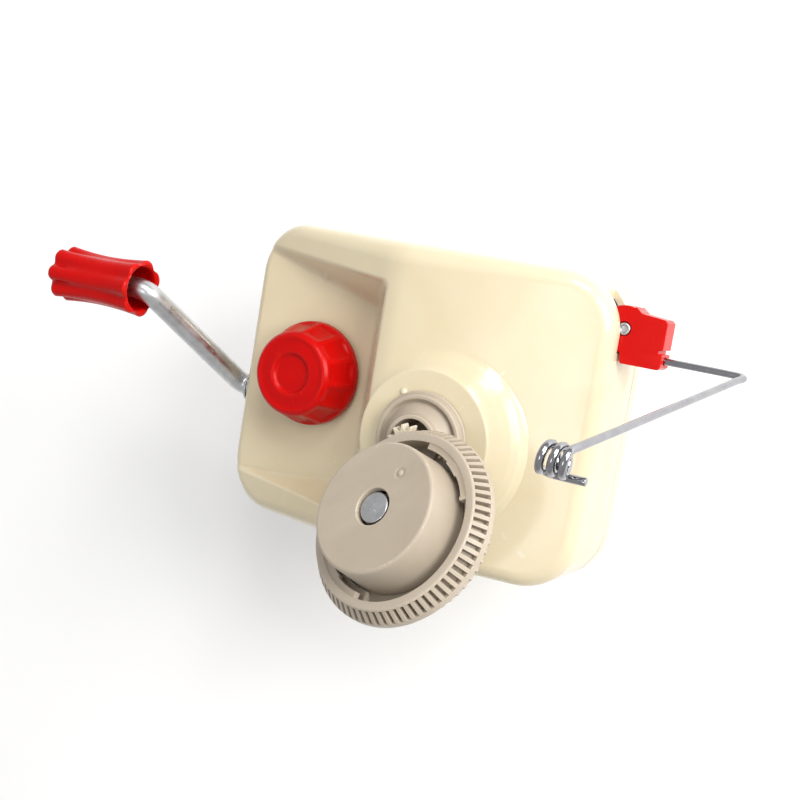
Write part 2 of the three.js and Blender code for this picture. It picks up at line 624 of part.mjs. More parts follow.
function grip() {
  const { open, length, radius, bore, boreDepth, bearing, flutes } = GRIP;
  const section = new THREE.Shape();
  const sides = flutes * 4;
  for (let i = 0; i < sides; i += 1) {
    const angle = (i / sides) * 2 * Math.PI;
    const reach = radius - 1.3 * Math.max(0, Math.cos(flutes * angle)) ** 2;
    const corner = [reach * Math.cos(angle), reach * Math.sin(angle)];
    if (i === 0) section.moveTo(...corner);
    else section.lineTo(...corner);
  }
  section.closePath();
  const geometry = new THREE.ExtrudeGeometry(section, { depth: length, steps: 5, bevelEnabled: false });
  const position = geometry.attributes.position;
  for (let i = 0; i < position.count; i += 1) {
    const part = position.getZ(i) / length;
    const scale = 0.9 + 0.1 * Math.abs(2 * part - 1) ** 2 - (part > 0.95 ? 0.05 : 0);
    position.setXY(i, position.getX(i) * scale, position.getY(i) * scale);
  }
  const axisY = CRANK.reachY;
  const axisZ = CRANK.z + CRANK.reachZ;
  const outside = solid(geometry.rotateY(-Math.PI / 2).translate(open, axisY, axisZ));
  return cut(
    outside,
    rodAlongX(bore, open - boreDepth, open + 5, axisY, axisZ),
    rodAlongX(bearing, CRANK.end, open, axisY, axisZ),
    rodAlongX(6.4, CRANK.end - 0.3, CRANK.end + 3.6, axisY, axisZ),
  );
}

function gripClip() {
  const place = rodAlongX(5.6, CRANK.end + 0.9, CRANK.end + 2.1, CRANK.reachY, CRANK.z + CRANK.reachZ);
  return cut(place, rodAlongX(CRANK.radius + 0.25, -200, -100, CRANK.reachY, CRANK.z + CRANK.reachZ));
}

function shaftBush() {
  return cut(
    join(rodAlongX(5.8, CASE.left - 1.4, CASE.left + 7, 0, CRANK.z),
      rodAlongX(8, CASE.left - 1.4, CASE.left - GAP, 0, CRANK.z)),
    rodAlongX(CRANK.radius + GAP, CASE.left - 9, CASE.left + 9, 0, CRANK.z),
  );
}

// ---------------------------------------------------------------- yarn guide

function guideBlock() {
  const { pivotX, pivotY, pivotRadius, bottom, top, right, back, wireY, wireZ } = GUIDE;
  const plan = new THREE.Shape();
  plan.moveTo(pivotX + 0.6, wireY - 3.2);
  plan.lineTo(right - 1, wireY - 3.2);
  plan.lineTo(right, wireY - 2.2);
  plan.lineTo(right, back - 1.8);
  plan.lineTo(right - 1, back - 0.8);
  plan.lineTo(pivotX + 5.4, back);
  plan.lineTo(pivotX + 3, pivotY + pivotRadius);
  plan.absarc(pivotX, pivotY, pivotRadius, 70 * DEG, 250 * DEG);
  plan.lineTo(pivotX - 0.2, pivotY - pivotRadius);
  plan.closePath();
  const notch = box(right - 2.6, right + 1, wireY + 2.4, wireY + 4.8, bottom - 1, top + 1);
  const step = box(right - 1.4, right + 1, wireY - 5, wireY - 1.9, bottom - 1, top + 1);
  return cut(
    prism(plan, bottom, top), notch, step,
    rodAlongX(WIRE.radius + GAP, right - 9.6, right + 2, wireY, wireZ, 10),
    rodAlongX(3.1, right - 9.6, right - 6.4, wireY, wireZ, 12),
    rod(2, 0, 60, [pivotX, pivotY, 0]), rod(3.2, top - 1, top + 5, [pivotX, pivotY, 0]),
  );
}

function guidePivot() {
  const { pivotX, pivotY, top } = GUIDE;
  return lathe([
    [0, 14.6], [1.7, 14.6], [1.7, top - 0.7], [2.8, top - 0.7], [2.8, top], [1.4, top + 0.1],
    [1.1, top - 0.5], [0, top - 0.5],
  ], 12, [pivotX, pivotY, 0]);
}

// Round wire: out of the block along X, up past an elbow, then a pigtail eye with a straight tail.
function wireGuide() {
  const { radius, elbowX, eyeX, eyeY, eyeZ } = WIRE;
  const { coil, turns, pitch, tailReach, tailAngle, tailEnd } = EYE;
  const { right, wireY, wireZ } = GUIDE;
  const points = [
    [right - 9.2, wireY, wireZ], [right - 4, wireY, wireZ], [elbowX - 6, wireY, wireZ],
    [elbowX - 2, wireY - 0.2, wireZ + 0.7], [elbowX, wireY - 0.6, wireZ + 3],
  ];
  for (let part = 0.1; part < 0.95; part += 0.2) {
    points.push([
      elbowX + (eyeX + 3 - elbowX) * part, wireY + (eyeY - wireY) * part, wireZ + (eyeZ - wireZ) * part,
    ]);
  }
  const round = (x, reach, angle) => [
    x, eyeY - coil + reach * Math.cos(angle), eyeZ + 2 + reach * Math.sin(angle),
  ];
  for (let turn = 0; turn <= turns; turn += 1 / 12) {
    points.push(round(eyeX - pitch * turn, coil, turn * 2 * Math.PI));
  }
  const last = eyeX - pitch * turns;
  points.push(
    round(last - 0.4, coil + 1, tailAngle - 8 * DEG), round(last + 0.6, tailReach - 0.3, tailAngle),
    round(last + 2.4, tailReach, tailAngle), round(tailEnd, tailReach, tailAngle),
  );
  const path = new THREE.CatmullRomCurve3(points.map((point) => new THREE.Vector3(...point)));
  return sweep(path, radius, 6, 88);
}

function wireCollar() {
  const { right, wireY, wireZ } = GUIDE;
  return cut(
    rodAlongX(2.7, right - 9.2, right - 6.8, wireY, wireZ, 12),
    rodAlongX(WIRE.radius + 0.25, right - 20, right + 2, wireY, wireZ, 10),
  );
}

// ---------------------------------------------------------------- assembly

const winder = new THREE.Group();
winder.name = 'yarn_winder';

piece('front_cover', frontCover(), cream, winder);
piece('back_cover', backCover(), cream, winder);
COVER_SCREWS.forEach(([x, y], i) => piece(`cover_screw_${i + 1}`, coverScrew(x, y), zinc, winder));

piece('clamp_knob', clampKnob(), red, winder);
piece('clamp_bolt', clampBolt(), zinc, winder);
piece('knob_washer', knobWasher(), zinc, winder);
piece('clamp_jaw', clampJaw(), zinc, winder);
piece('jaw_nut', jawNut(), zinc, winder);
piece('jaw_pad', jawPad(), rubber, winder);

piece('crank_rod', crankRod(), zinc, winder);
piece('grip', grip(), red, winder);
piece('grip_clip', gripClip(), zinc, winder);
piece('shaft_bush', shaftBush(), zinc, winder);
piece('bearing_block', bearingBlock(), nylon, winder);
piece('crank_gear', crankGear(), nylon, winder);
piece('crank_gear_pin', crossPin(1.2, 5.7), zinc, winder);
piece('lay_gear', layGear(), nylon, winder);
piece('lay_axle', layAxle(), zinc, winder);

piece('sun_post', sunPost(), zinc, winder);
piece('sun_pinion', sunPinion(), nylon, winder);
piece('hub_bush', hubBush(), bronze, winder);

const carrier = new THREE.Group();
carrier.rotation.z = REST_ANGLE;
winder.add(carrier);
piece('carrier_hub', carrierHub(), stone, carrier);
piece('carrier_pinion', carrierPinion(), nylon, carrier);

const spindle = new THREE.Group();
spindle.position.copy(spindlePoint(0));
spindle.rotation.y = -TILT;
carrier.add(spindle);
piece('bobbin_wheel', bobbinWheel(), stone, spindle);
piece('bobbin_drum', bobbinDrum(), stone, spindle);
piece('spindle_pin', spindlePin(), zinc, spindle);
piece('thrust_washer', thrustWasher(), nylon, spindle);
piece('spindle_clip', spindleClip(), zinc, spindle);

piece('guide_block', guideBlock(), red, winder);
piece('guide_pivot', guidePivot(), zinc, winder);
piece('wire_guide', wireGuide(), chrome, winder);
piece('wire_collar', wireCollar(), zinc, winder);

export default winder;
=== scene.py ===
"""Looks, light and camera of the yarn ball winder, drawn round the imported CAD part."""

import json
import math

import bmesh
import bpy
import numpy as np
from mathutils import Matrix, Vector


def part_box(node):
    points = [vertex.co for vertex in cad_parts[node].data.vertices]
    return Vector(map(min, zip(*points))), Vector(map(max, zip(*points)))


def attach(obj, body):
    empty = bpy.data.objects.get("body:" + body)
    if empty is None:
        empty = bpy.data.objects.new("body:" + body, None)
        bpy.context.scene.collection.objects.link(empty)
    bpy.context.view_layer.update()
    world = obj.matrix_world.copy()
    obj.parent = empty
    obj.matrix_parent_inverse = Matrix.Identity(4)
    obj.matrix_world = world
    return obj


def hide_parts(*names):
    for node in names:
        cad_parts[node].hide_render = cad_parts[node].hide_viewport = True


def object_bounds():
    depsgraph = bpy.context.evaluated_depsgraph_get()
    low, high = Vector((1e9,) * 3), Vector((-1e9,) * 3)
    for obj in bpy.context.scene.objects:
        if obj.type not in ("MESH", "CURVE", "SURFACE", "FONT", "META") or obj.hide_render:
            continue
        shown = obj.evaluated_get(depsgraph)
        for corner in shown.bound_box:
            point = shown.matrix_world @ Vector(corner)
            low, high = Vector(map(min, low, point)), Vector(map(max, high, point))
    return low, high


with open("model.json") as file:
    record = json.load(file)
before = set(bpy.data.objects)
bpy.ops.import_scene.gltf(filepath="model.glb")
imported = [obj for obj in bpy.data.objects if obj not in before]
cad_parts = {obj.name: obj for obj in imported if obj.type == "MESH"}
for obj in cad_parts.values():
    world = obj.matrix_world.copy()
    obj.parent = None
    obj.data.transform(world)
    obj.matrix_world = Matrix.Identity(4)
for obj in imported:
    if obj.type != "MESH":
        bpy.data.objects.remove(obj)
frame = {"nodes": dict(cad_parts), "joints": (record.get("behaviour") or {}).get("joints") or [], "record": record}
cad_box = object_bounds()

MM = 0.001  # pieces are drawn in millimetres and stored in metres
TURN = 2 * math.pi

# ---------------------------------------------------------------- places, from the frame

JOINT = {joint["name"]: joint for joint in frame["joints"]}


def box_mm(node):
    """Lowest and highest corner of a CAD node, in millimetres."""
    low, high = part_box(node)
    return np.array(low) / MM, np.array(high) / MM


def pivot_mm(joint):
    """The point a hinge turns about, in millimetres."""
    return np.array(JOINT[joint]["pos_m"]) / MM


(LEFT, FRONT, _), (RIGHT, BACK, SPLIT) = box_mm("back_cover")
COVER_BOTTOM = box_mm("front_cover")[0][2]
BOSS_TOP = box_mm("front_cover")[1][2]
KNOB_X, KNOB_Y, _ = pivot_mm("knob_turn")
KNOB_LOW, KNOB_HIGH = box_mm("clamp_knob")
CRANK_Z = pivot_mm("crank_spin")[2]
GRIP_LOW, GRIP_HIGH = box_mm("grip")
GRIP_Y, GRIP_Z = pivot_mm("grip_spin")[1:]
GUIDE_X, GUIDE_Y, _ = pivot_mm("guide_swing")
BLOCK_LOW, BLOCK_HIGH = box_mm("guide_block")
WIRE_Y, WIRE_Z = pivot_mm("wire_fold")[1:]
APEX = pivot_mm("bobbin_spin")
LEAN = np.array(JOINT["bobbin_spin"]["axis"])
TILT = math.acos(LEAN[2])
REST_ANGLE = math.atan2(-LEAN[1], -LEAN[0])
APEX_TO_FACE = 39.6

CARRIER = Matrix.Rotation(REST_ANGLE, 4, "Z")
SPINDLE = (
    Matrix.Translation(Vector(APEX - APEX_TO_FACE * LEAN))
    @ CARRIER @ Matrix.Rotation(-TILT, 4, "Y")
)

# ---------------------------------------------------------------- drawing helpers


def fillet(profile, radius, steps=4):
    """A polyline with its inner corners rounded. A third value on a point is its own radius."""
    points = [np.array(p[:2], float) for p in profile]
    out = [points[0]]
    for before, here, after, given in zip(points, points[1:], points[2:], profile[1:]):
        size = given[2] if len(given) > 2 else radius
        back, ahead = before - here, after - here
        reach = min(size, 0.45 * np.linalg.norm(back), 0.45 * np.linalg.norm(ahead))
        if reach < 1e-3:
            out.append(here)
            continue
        a = here + back / np.linalg.norm(back) * reach
        b = here + ahead / np.linalg.norm(ahead) * reach
        for i in range(steps + 1):
            t = i / steps
            out.append((1 - t) ** 2 * a + 2 * t * (1 - t) * here + t * t * b)
    out.append(points[-1])
    return np.array(out)


def quilt(points, wrap_v=False):
    """Flat points and quads over a (u, v) array of points that closes on itself along u."""
    nu, nv = points.shape[:2]
    u = np.arange(nu)[:, None]
    v = np.arange(nv if wrap_v else nv - 1)[None, :]
    u2, v2 = (u + 1) % nu, (v + 1) % nv
    quads = np.stack([u * nv + v, u2 * nv + v, u2 * nv + v2, u * nv + v2], -1)
    return points.reshape(-1, 3), quads.reshape(-1, 4).tolist()


def revolve(profile, segments, place=(0, 0, 0), reach=None):
    """A profile of (radius, z) turned about Z. `reach` changes the radius: reach(angle, radius, z)."""
    profile = np.asarray(profile, float)
    angle = np.arange(segments)[:, None] / segments * TURN
    radius = np.broadcast_to(profile[None, :, 0], (segments, len(profile)))
    height = np.broadcast_to(profile[None, :, 1], radius.shape)
    if reach is not None:
        radius = reach(angle, radius, height)
    points = np.stack([radius * np.cos(angle), radius * np.sin(angle), height], -1)
    return quilt(points + np.array(place, float))


def rod(radius, bottom, top, segments, place=(0, 0, 0)):
    """A plain upright cylinder."""
    return revolve([[0, bottom], [radius, bottom], [radius, top], [0, top]], segments, place)


def along_x(shape, start, y, z):
    """A shape drawn up the Z axis, laid along X from `start` toward +X."""
    points, faces = shape
    return np.stack([start + points[:, 2], y + points[:, 1], z - points[:, 0]], -1), faces


def loft(loops):
    """Closed loops of equal length joined in turn, with a flat face over the first and the last."""
    points = np.swapaxes(np.array(loops, float), 0, 1)
    flat, faces = quilt(points)
    count, rows = points.shape[:2]
    faces.append([i * rows for i in range(count)][::-1])
    faces.append([i * rows + rows - 1 for i in range(count)])
    return flat, faces


def prism(outline, bottom, top):
    """An outline of (x, y) points raised from bottom to top."""
    outline = np.asarray(outline, float)
    return loft([np.column_stack([outline, np.full(len(outline), z)]) for z in (bottom, top)])


def arc(x, y, radius, start, end, steps):
    """Points on an arc, angles in degrees."""
    angle = np.radians(np.linspace(start, end, steps))
    return np.column_stack([x + radius * np.cos(angle), y + radius * np.sin(angle)])


def rounded_box(x0, x1, y0, y1, radius, steps=8):
    """Outline of a rectangle with round corners."""
    return np.vstack([
        arc(x1 - radius, y1 - radius, radius, 0, 90, steps),
        arc(x0 + radius, y1 - radius, radius, 90, 180, steps),
        arc(x0 + radius, y0 + radius, radius, 180, 270, steps),
        arc(x1 - radius, y0 + radius, radius, 270, 360, steps),
    ])


def sweep(path, radius, sides, round_ends):
    """A round bar along a path of points, its two ends rounded over."""
    path = np.asarray(path, float)
    tangent = np.gradient(path, axis=0)
    tangent /= np.linalg.norm(tangent, axis=1)[:, None]
    side = np.cross(tangent[0], [0.0, 0.0, 1.0] if abs(tangent[0][2]) < 0.9 else [1.0, 0.0, 0.0])
    rings = []
    angle = np.arange(sides) / sides * TURN
    for here, ahead in zip(path, tangent):
        side = side - ahead * side.dot(ahead)
        side /= np.linalg.norm(side)
        up = np.cross(ahead, side)
        rings.append(np.outer(np.cos(angle), side) + np.outer(np.sin(angle), up))
    ends = [
        (round_ends * share, radius - round_ends * (1 - math.sqrt(1 - (1 - share) ** 2)))
        for share in (0.0, 0.3, 0.6, 0.8)
    ]
    loops = [path[0] + tangent[0] * along + rings[0] * shrunk for along, shrunk in ends]
    loops += [here + ring * radius for here, ring in zip(path[1:-1], rings[1:-1])]
    loops += [path[-1] - tangent[-1] * along + rings[-1] * shrunk for along, shrunk in ends[::-1]]
    return loft(loops)


def bent_path(corners, bend):
    """Straight runs between corner points, each corner rounded over the length `bend`."""
    corners = [np.array(c, float) for c in corners]
    step, rounds = 2.4, np.linspace(0, 1, 14)
    start, out = corners[0], []
    for before, here, after in zip(corners, corners[1:], corners[2:]):
        a = here + (before - here) / np.linalg.norm(before - here) * bend
        b = here + (after - here) / np.linalg.norm(after - here) * bend
        count = max(2, int(np.linalg.norm(a - start) / step))
        out += [start + (a - start) * t for t in np.linspace(0, 1, count, endpoint=False)]
        out += [(1 - t) ** 2 * a + 2 * t * (1 - t) * here + t * t * b for t in rounds[:-1]]
        start = b
    out += [start + (corners[-1] - start) * t for t in rounds]
    return np.array(out)


def centripetal(points, per_span):
    """A smooth curve through points, evenly tight at close and wide spacings."""
    points = [np.array(p, float) for p in points]
    ends = [2 * points[0] - points[1]] + points + [2 * points[-1] - points[-2]]
    out = []
    for p0, p1, p2, p3 in zip(ends, ends[1:], ends[2:], ends[3:]):
        knots = [0.0]
        for a, b in ((p0, p1), (p1, p2), (p2, p3)):
            knots.append(knots[-1] + max(np.linalg.norm(b - a), 1e-6) ** 0.5)
        t0, t1, t2, t3 = knots
        for t in np.linspace(t1, t2, per_span, endpoint=False):
            a1 = (t1 - t) / (t1 - t0) * p0 + (t - t0) / (t1 - t0) * p1
            a2 = (t2 - t) / (t2 - t1) * p1 + (t - t1) / (t2 - t1) * p2
            a3 = (t3 - t) / (t3 - t2) * p2 + (t - t2) / (t3 - t2) * p3
            b1 = (t2 - t) / (t2 - t0) * a1 + (t - t0) / (t2 - t0) * a2
            b2 = (t3 - t) / (t3 - t1) * a2 + (t - t1) / (t3 - t1) * a3
            out.append((t2 - t) / (t2 - t1) * b1 + (t - t1) / (t2 - t1) * b2)
    out.append(points[-1])
    return np.array(out)


def smooth_min(a, b, width):
    """The lower of two heights, blended where they differ by less than `width`."""
    share = np.clip(0.5 + 0.5 * (b - a) / width, 0, 1)
    return b * (1 - share) + a * share - width * share * (1 - share)


def smooth_max(a, b, width):
    """The higher of two heights, blended where they differ by less than `width`."""
    return -smooth_min(-a, -b, width)


# ---------------------------------------------------------------- pieces


def raw(shape, place=None):
    """A mesh object in metres from (points in mm, faces), with merged points and outward faces."""
    points, faces = shape
    if place is not None:
        turn = np.array(place.to_3x3())
        points = points @ turn.T + np.array(place.translation)
    data = bpy.data.meshes.new("shape")
    data.from_pydata((np.asarray(points) * MM).tolist(), [], faces)
    work = bmesh.new()
    work.from_mesh(data)
    bmesh.ops.remove_doubles(work, verts=work.verts, dist=2e-6)
    bmesh.ops.recalc_face_normals(work, faces=work.faces)
    work.to_mesh(data)
    work.free()
    obj = bpy.data.objects.new("shape", data)
    bpy.context.scene.collection.objects.link(obj)
    return obj


def settle(obj):
    """Turns the modifiers of a piece into its mesh."""
    graph = bpy.context.evaluated_depsgraph_get()
    data = bpy.data.meshes.new_from_object(obj.evaluated_get(graph))
    obj.modifiers.clear()
    obj.data = data
    return obj


def combine(obj, tools, operation="DIFFERENCE"):
    """Cuts or joins obj with other raw meshes, which are used up."""
    for tool in tools:
        change = obj.modifiers.new("cut", "BOOLEAN")
        change.operation = operation
        change.solver = "EXACT"
        change.object = tool
        settle(obj)
        bpy.data.objects.remove(tool)
    return obj


def bevel(obj, width, segments, angle=35):
    """Rounds the edges of a piece that are sharper than `angle` degrees."""
    change = obj.modifiers.new("bevel", "BEVEL")
    change.width = width * MM
    change.segments = segments
    change.limit_method = "ANGLE"
    change.angle_limit = math.radians(angle)
    return settle(obj)


def piece(name, obj, body, slot, nodes, sharp=38, flats=False):
    """Names a finished mesh, gives it its material and puts it in place of its CAD nodes.

    `flats` keeps large flat faces evenly lit up to their bevels.
    """
    obj.data.shade_smooth()
    obj.data.set_sharp_from_angle(angle=math.radians(sharp))
    if flats:
        change = obj.modifiers.new("flats", "WEIGHTED_NORMAL")
        change.keep_sharp = True
        settle(obj)
    obj.name = name
    obj.data.name = name
    obj.data.materials.clear()
    obj.data.materials.append(MATERIALS[slot])
    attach(obj, body)
    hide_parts(*nodes)


# ---------------------------------------------------------------- materials


def srgb(red, green, blue):
    """Linear colour from 0 to 255 display values."""
    return [((v / 255 + 0.055) / 1.055) ** 2.4 if v > 10 else v / 255 / 12.92 for v in (red, green, blue)]


PIGMENT = 0.7  # moulded colours are this much darker than they look under the studio light


class Surface:
    """A principled material with shorthand for the procedural detail wired to it."""

    def __init__(self, name, **sockets):
        self.material = bpy.data.materials.new(name)
        self.material.use_nodes = True
        self.tree = self.material.node_tree
        self.shader = self.tree.nodes["Principled BSDF"]
        for socket, value in sockets.items():
            self.shader.inputs[socket.replace("_", " ")].default_value = value
        self.place = self.node("ShaderNodeTexCoord").outputs["Object"]

    def node(self, kind, **values):
        """A new node of the material, with some of its settings."""
        made = self.tree.nodes.new(kind)
        for key, value in values.items():
            setattr(made, key, value)
        return made

    def link(self, start, end):
        """Joins an output socket to an input."""
        self.tree.links.new(start, end)

    def noise(self, size, detail, roughness=0.55, stretch=(1, 1, 1), distortion=0.0):
        """Noise with features about `size` millimetres across."""
        mapping = self.node("ShaderNodeMapping")
        mapping.inputs["Scale"].default_value = stretch
        self.link(self.place, mapping.inputs["Vector"])
        made = self.node("ShaderNodeTexNoise")
        made.inputs["Scale"].default_value = 1 / (size * MM)
        made.inputs["Detail"].default_value = detail
        made.inputs["Roughness"].default_value = roughness
        made.inputs["Distortion"].default_value = distortion
        self.link(mapping.outputs[0], made.inputs["Vector"])
        return made.outputs["Fac"]

    def spread(self, value, low, high, start=0.3, end=0.7):
        """Maps a value from start..end to low..high."""
        made = self.node("ShaderNodeMapRange")
        for key, number in (("From Min", start), ("From Max", end), ("To Min", low), ("To Max", high)):
            made.inputs[key].default_value = number
        self.link(value, made.inputs["Value"])
        return made.outputs["Result"]

    def mix(self, share, first, second):
        """A colour between two, each a list or a socket."""
        made = self.node("ShaderNodeMix", data_type="RGBA")
        self.link(share, made.inputs[0])
        for index, colour in ((6, first), (7, second)):
            if isinstance(colour, (list, tuple)):
                made.inputs[index].default_value = [*colour, 1]
            else:
                self.link(colour, made.inputs[index])
        return made.outputs[2]

    def maths(self, operation, a, b):
        """A sum or product of two values, each a number or a socket."""
        made = self.node("ShaderNodeMath", operation=operation)
        for index, value in enumerate((a, b)):
            if isinstance(value, (int, float)):
                made.inputs[index].default_value = value
            else:
                self.link(value, made.inputs[index])
        return made.outputs[0]

    def edges(self, low=0.5, high=0.56):
        """0 up to the pointiness `low`, 1 from `high`: raised edges, or creases when high is lower."""
        made = self.node("ShaderNodeNewGeometry")
        return self.spread(made.outputs["Pointiness"], 0.0, 1.0, low, high)

    def relief(self, height, depth, under=None):
        """Bump of `depth` millimetres, on top of another bump if given."""
        made = self.node("ShaderNodeBump")
        made.inputs["Distance"].default_value = depth * MM
        made.inputs["Strength"].default_value = 1.0
        self.link(height, made.inputs["Height"])
        if under is not None:
            self.link(under, made.inputs["Normal"])
        return made.outputs["Normal"]

    def wire(self, colour, roughness=None, normal=None):
        """Joins the finished colour, roughness and bump to the shader."""
        self.link(colour, self.shader.inputs["Base Color"])
        if roughness is not None:
            self.link(roughness, self.shader.inputs["Roughness"])
        if normal is not None:
            self.link(normal, self.shader.inputs["Normal"])
        return self.material


def plastic(name, base, shade, bright, gloss, texture, **sockets):
    """Moulded plastic: flow clouds, fine specks, handling marks, orange peel, paler edges and painted shade in its
    creases.
    """
    base, shade, bright = ([v * PIGMENT for v in colour] for colour in (base, shade, bright))
    surface = Surface(name, **sockets)
    clouds = surface.spread(surface.noise(34, 4, 0.6, distortion=0.8), 0.0, 1.0, 0.35, 0.68)
    colour = surface.mix(clouds, base, shade)
    specks = surface.spread(surface.noise(0.7, 2), 0.0, 0.35, 0.62, 0.75)
    colour = surface.mix(specks, colour, shade)
    edge = surface.maths("MULTIPLY", surface.edges(), 0.5)
    colour = surface.mix(edge, colour, bright)
    # Painted shade: creases and hollows, found by low pointiness, are darkened toward a dark copy of the shade
    # colour in place of the shadow that falls there.
    painted_crease_shade = surface.maths("MULTIPLY", surface.edges(0.49, 0.40), 0.75)
    colour = surface.mix(painted_crease_shade, colour, [v * 0.45 for v in shade])
    marks = surface.noise(9, 5, 0.65, stretch=(1, 0.45, 1), distortion=1.2)
    scuffs = surface.noise(1.1, 3, 0.7, stretch=(0.25, 1.4, 1))
    rough = surface.maths(
        "ADD", surface.spread(marks, *gloss, 0.35, 0.7), surface.spread(scuffs, 0.0, 0.05, 0.6, 0.8),
    )
    peel = surface.relief(surface.noise(2.4, 2, 0.5), texture)
    grain = surface.relief(surface.noise(0.28, 3, 0.6), texture * 0.45, under=peel)
    return surface.wire(colour, rough, grain)


def steel(name, base, shade, gloss, stretch, lines, **sockets):
    """Plated or polished steel: drawn lines along the bar, dull clouds and small pits."""
    surface = Surface(name, Metallic=1.0, **sockets)
    clouds = surface.spread(surface.noise(6, 5, 0.65, distortion=0.6), 0.0, 1.0, 0.35, 0.7)
    colour = surface.mix(clouds, base, shade)
    pits = surface.spread(surface.noise(0.45, 2), 0.0, 0.5, 0.66, 0.76)
    colour = surface.mix(pits, colour, [v * 0.55 for v in shade])
    drawn = surface.noise(0.35, 3, 0.6, stretch=stretch)
    rough = surface.maths(
        "ADD", surface.spread(surface.noise(3.5, 4), *gloss, 0.35, 0.7),
        surface.spread(drawn, 0.0, 0.06, 0.45, 0.7),
    )
    return surface.wire(colour, rough, surface.relief(drawn, lines))


MATERIALS = {
    "cream_plastic": plastic(
        "cream_plastic", srgb(244, 230, 196), srgb(240, 224, 187), srgb(250, 243, 220),
        (0.16, 0.27), 0.006,
        Subsurface_Weight=0.12, Subsurface_Radius=(0.004, 0.003, 0.0015), Subsurface_Scale=1.0,
        Specular_IOR_Level=0.5, Coat_Weight=0.25, Coat_Roughness=0.08,
    ),
    "red_plastic": plastic(
        "red_plastic", srgb(216, 4, 3), srgb(200, 3, 3), srgb(236, 36, 26), (0.2, 0.3), 0.008,
        Subsurface_Weight=0.08, Subsurface_Radius=(0.003, 0.0006, 0.0004), Subsurface_Scale=1.0,
        Specular_IOR_Level=0.14,
    ),
    "stone_plastic": plastic(
        "stone_plastic", srgb(203, 189, 169), srgb(191, 176, 156), srgb(226, 214, 198),
        (0.42, 0.55), 0.014,
        Subsurface_Weight=0.05, Subsurface_Radius=(0.002, 0.0015, 0.001), Subsurface_Scale=1.0,
    ),
    "nylon": plastic(
        "nylon", srgb(226, 214, 192), srgb(208, 193, 166), srgb(244, 236, 218), (0.38, 0.52), 0.02,
        Subsurface_Weight=0.25, Subsurface_Radius=(0.003, 0.0024, 0.0015), Subsurface_Scale=1.0,
    ),
    "rubber": plastic("rubber", srgb(34, 34, 35), srgb(24, 24, 25), srgb(60, 60, 60), (0.75, 0.9), 0.05),
    "chrome": steel(
        "chrome", srgb(158, 158, 162), srgb(142, 142, 147), (0.07, 0.12), (1, 1, 1), 0.0008,
    ),
    "zinc_steel": steel(
        "zinc_steel", srgb(206, 207, 208), srgb(184, 184, 186), (0.26, 0.4), (0.06, 1, 1), 0.005,
    ),
    "bronze": steel(
        "bronze", srgb(196, 150, 98), srgb(160, 116, 70), (0.4, 0.55), (1, 1, 1), 0.01,
    ),
}

# ---------------------------------------------------------------- casing

CORNER = 20.0
WALL = 2.4
LOW_TOP, RIDGE_X, RIDGE_TOP, END_TOP = 26.0, -22.0, 46.5, 34.8
EDGE_LOW, EDGE_RIDGE, EDGE_END = 4.0, 7.5, 5.0
# The knob's well: its three walls at the floor, the long two where they meet the casing's end,
# how much the long two close in for each millimetre of length, and how far each wall leans out.
WELL_END, WELL_BACK, WELL_FRONT = -36.5, 57.0, -31.0
BACK_TAPER, FRONT_TAPER = 15 / 55, 4 / 55
END_LEAN, BACK_LEAN, FRONT_LEAN = 12.0, 14.0, 8.5
BOSS_BORE, BOSS_SEAT, HUB_BORE, BOSS_WALL = 14.7, 37.5, 12.6, 18.7
BOSS_FACE = np.array([[0, 0], [24.3, 0], [24.9, -0.2], [25.3, -0.7], [25.7, -2.5], [27.2, -24]])
BOSS_FLARE = np.array([
    [0, 0], [24.3, 0], [25.2, -0.35], [26.6, -1.1], [29, -2.3], [32, -3.9], [34.5, -5.6],
    [36.4, -8.4], [39, -24],
])
OUTLINE_STEP = 0.76


def outline(count):
    """Points evenly round the casing's outline, each with its outward direction."""
    spans = [RIGHT - LEFT - 2 * CORNER, BACK - FRONT - 2 * CORNER]
    bend = CORNER * math.pi / 2
    x0, x1, y0, y1 = LEFT + CORNER, RIGHT - CORNER, FRONT + CORNER, BACK - CORNER
    places, directions = [], []
    runs = [  # start of the straight run, its direction and length, and the corner after it
        ((x1, y1), (-1, 0), spans[0], 90), ((x0, y1), (0, -1), spans[1], 180),
        ((x0, y0), (1, 0), spans[0], 270), ((x1, y0), (0, 1), spans[1], 0),
    ]
    total = 2 * sum(spans) + 4 * bend
    for distance in np.arange(count) / count * total:
        for (x, y), (dx, dy), length, normal in runs:
            if distance < length:
                places.append((x + dx * distance, y + dy * distance))
                directions.append(math.radians(normal))
                break
            distance -= length
            if distance < bend:
                places.append((x + dx * length, y + dy * length))
                directions.append(math.radians(normal) + distance / CORNER)
                break
            distance -= bend
    out = np.column_stack([np.cos(directions), np.sin(directions)])
    return np.array(places) + out * CORNER, out


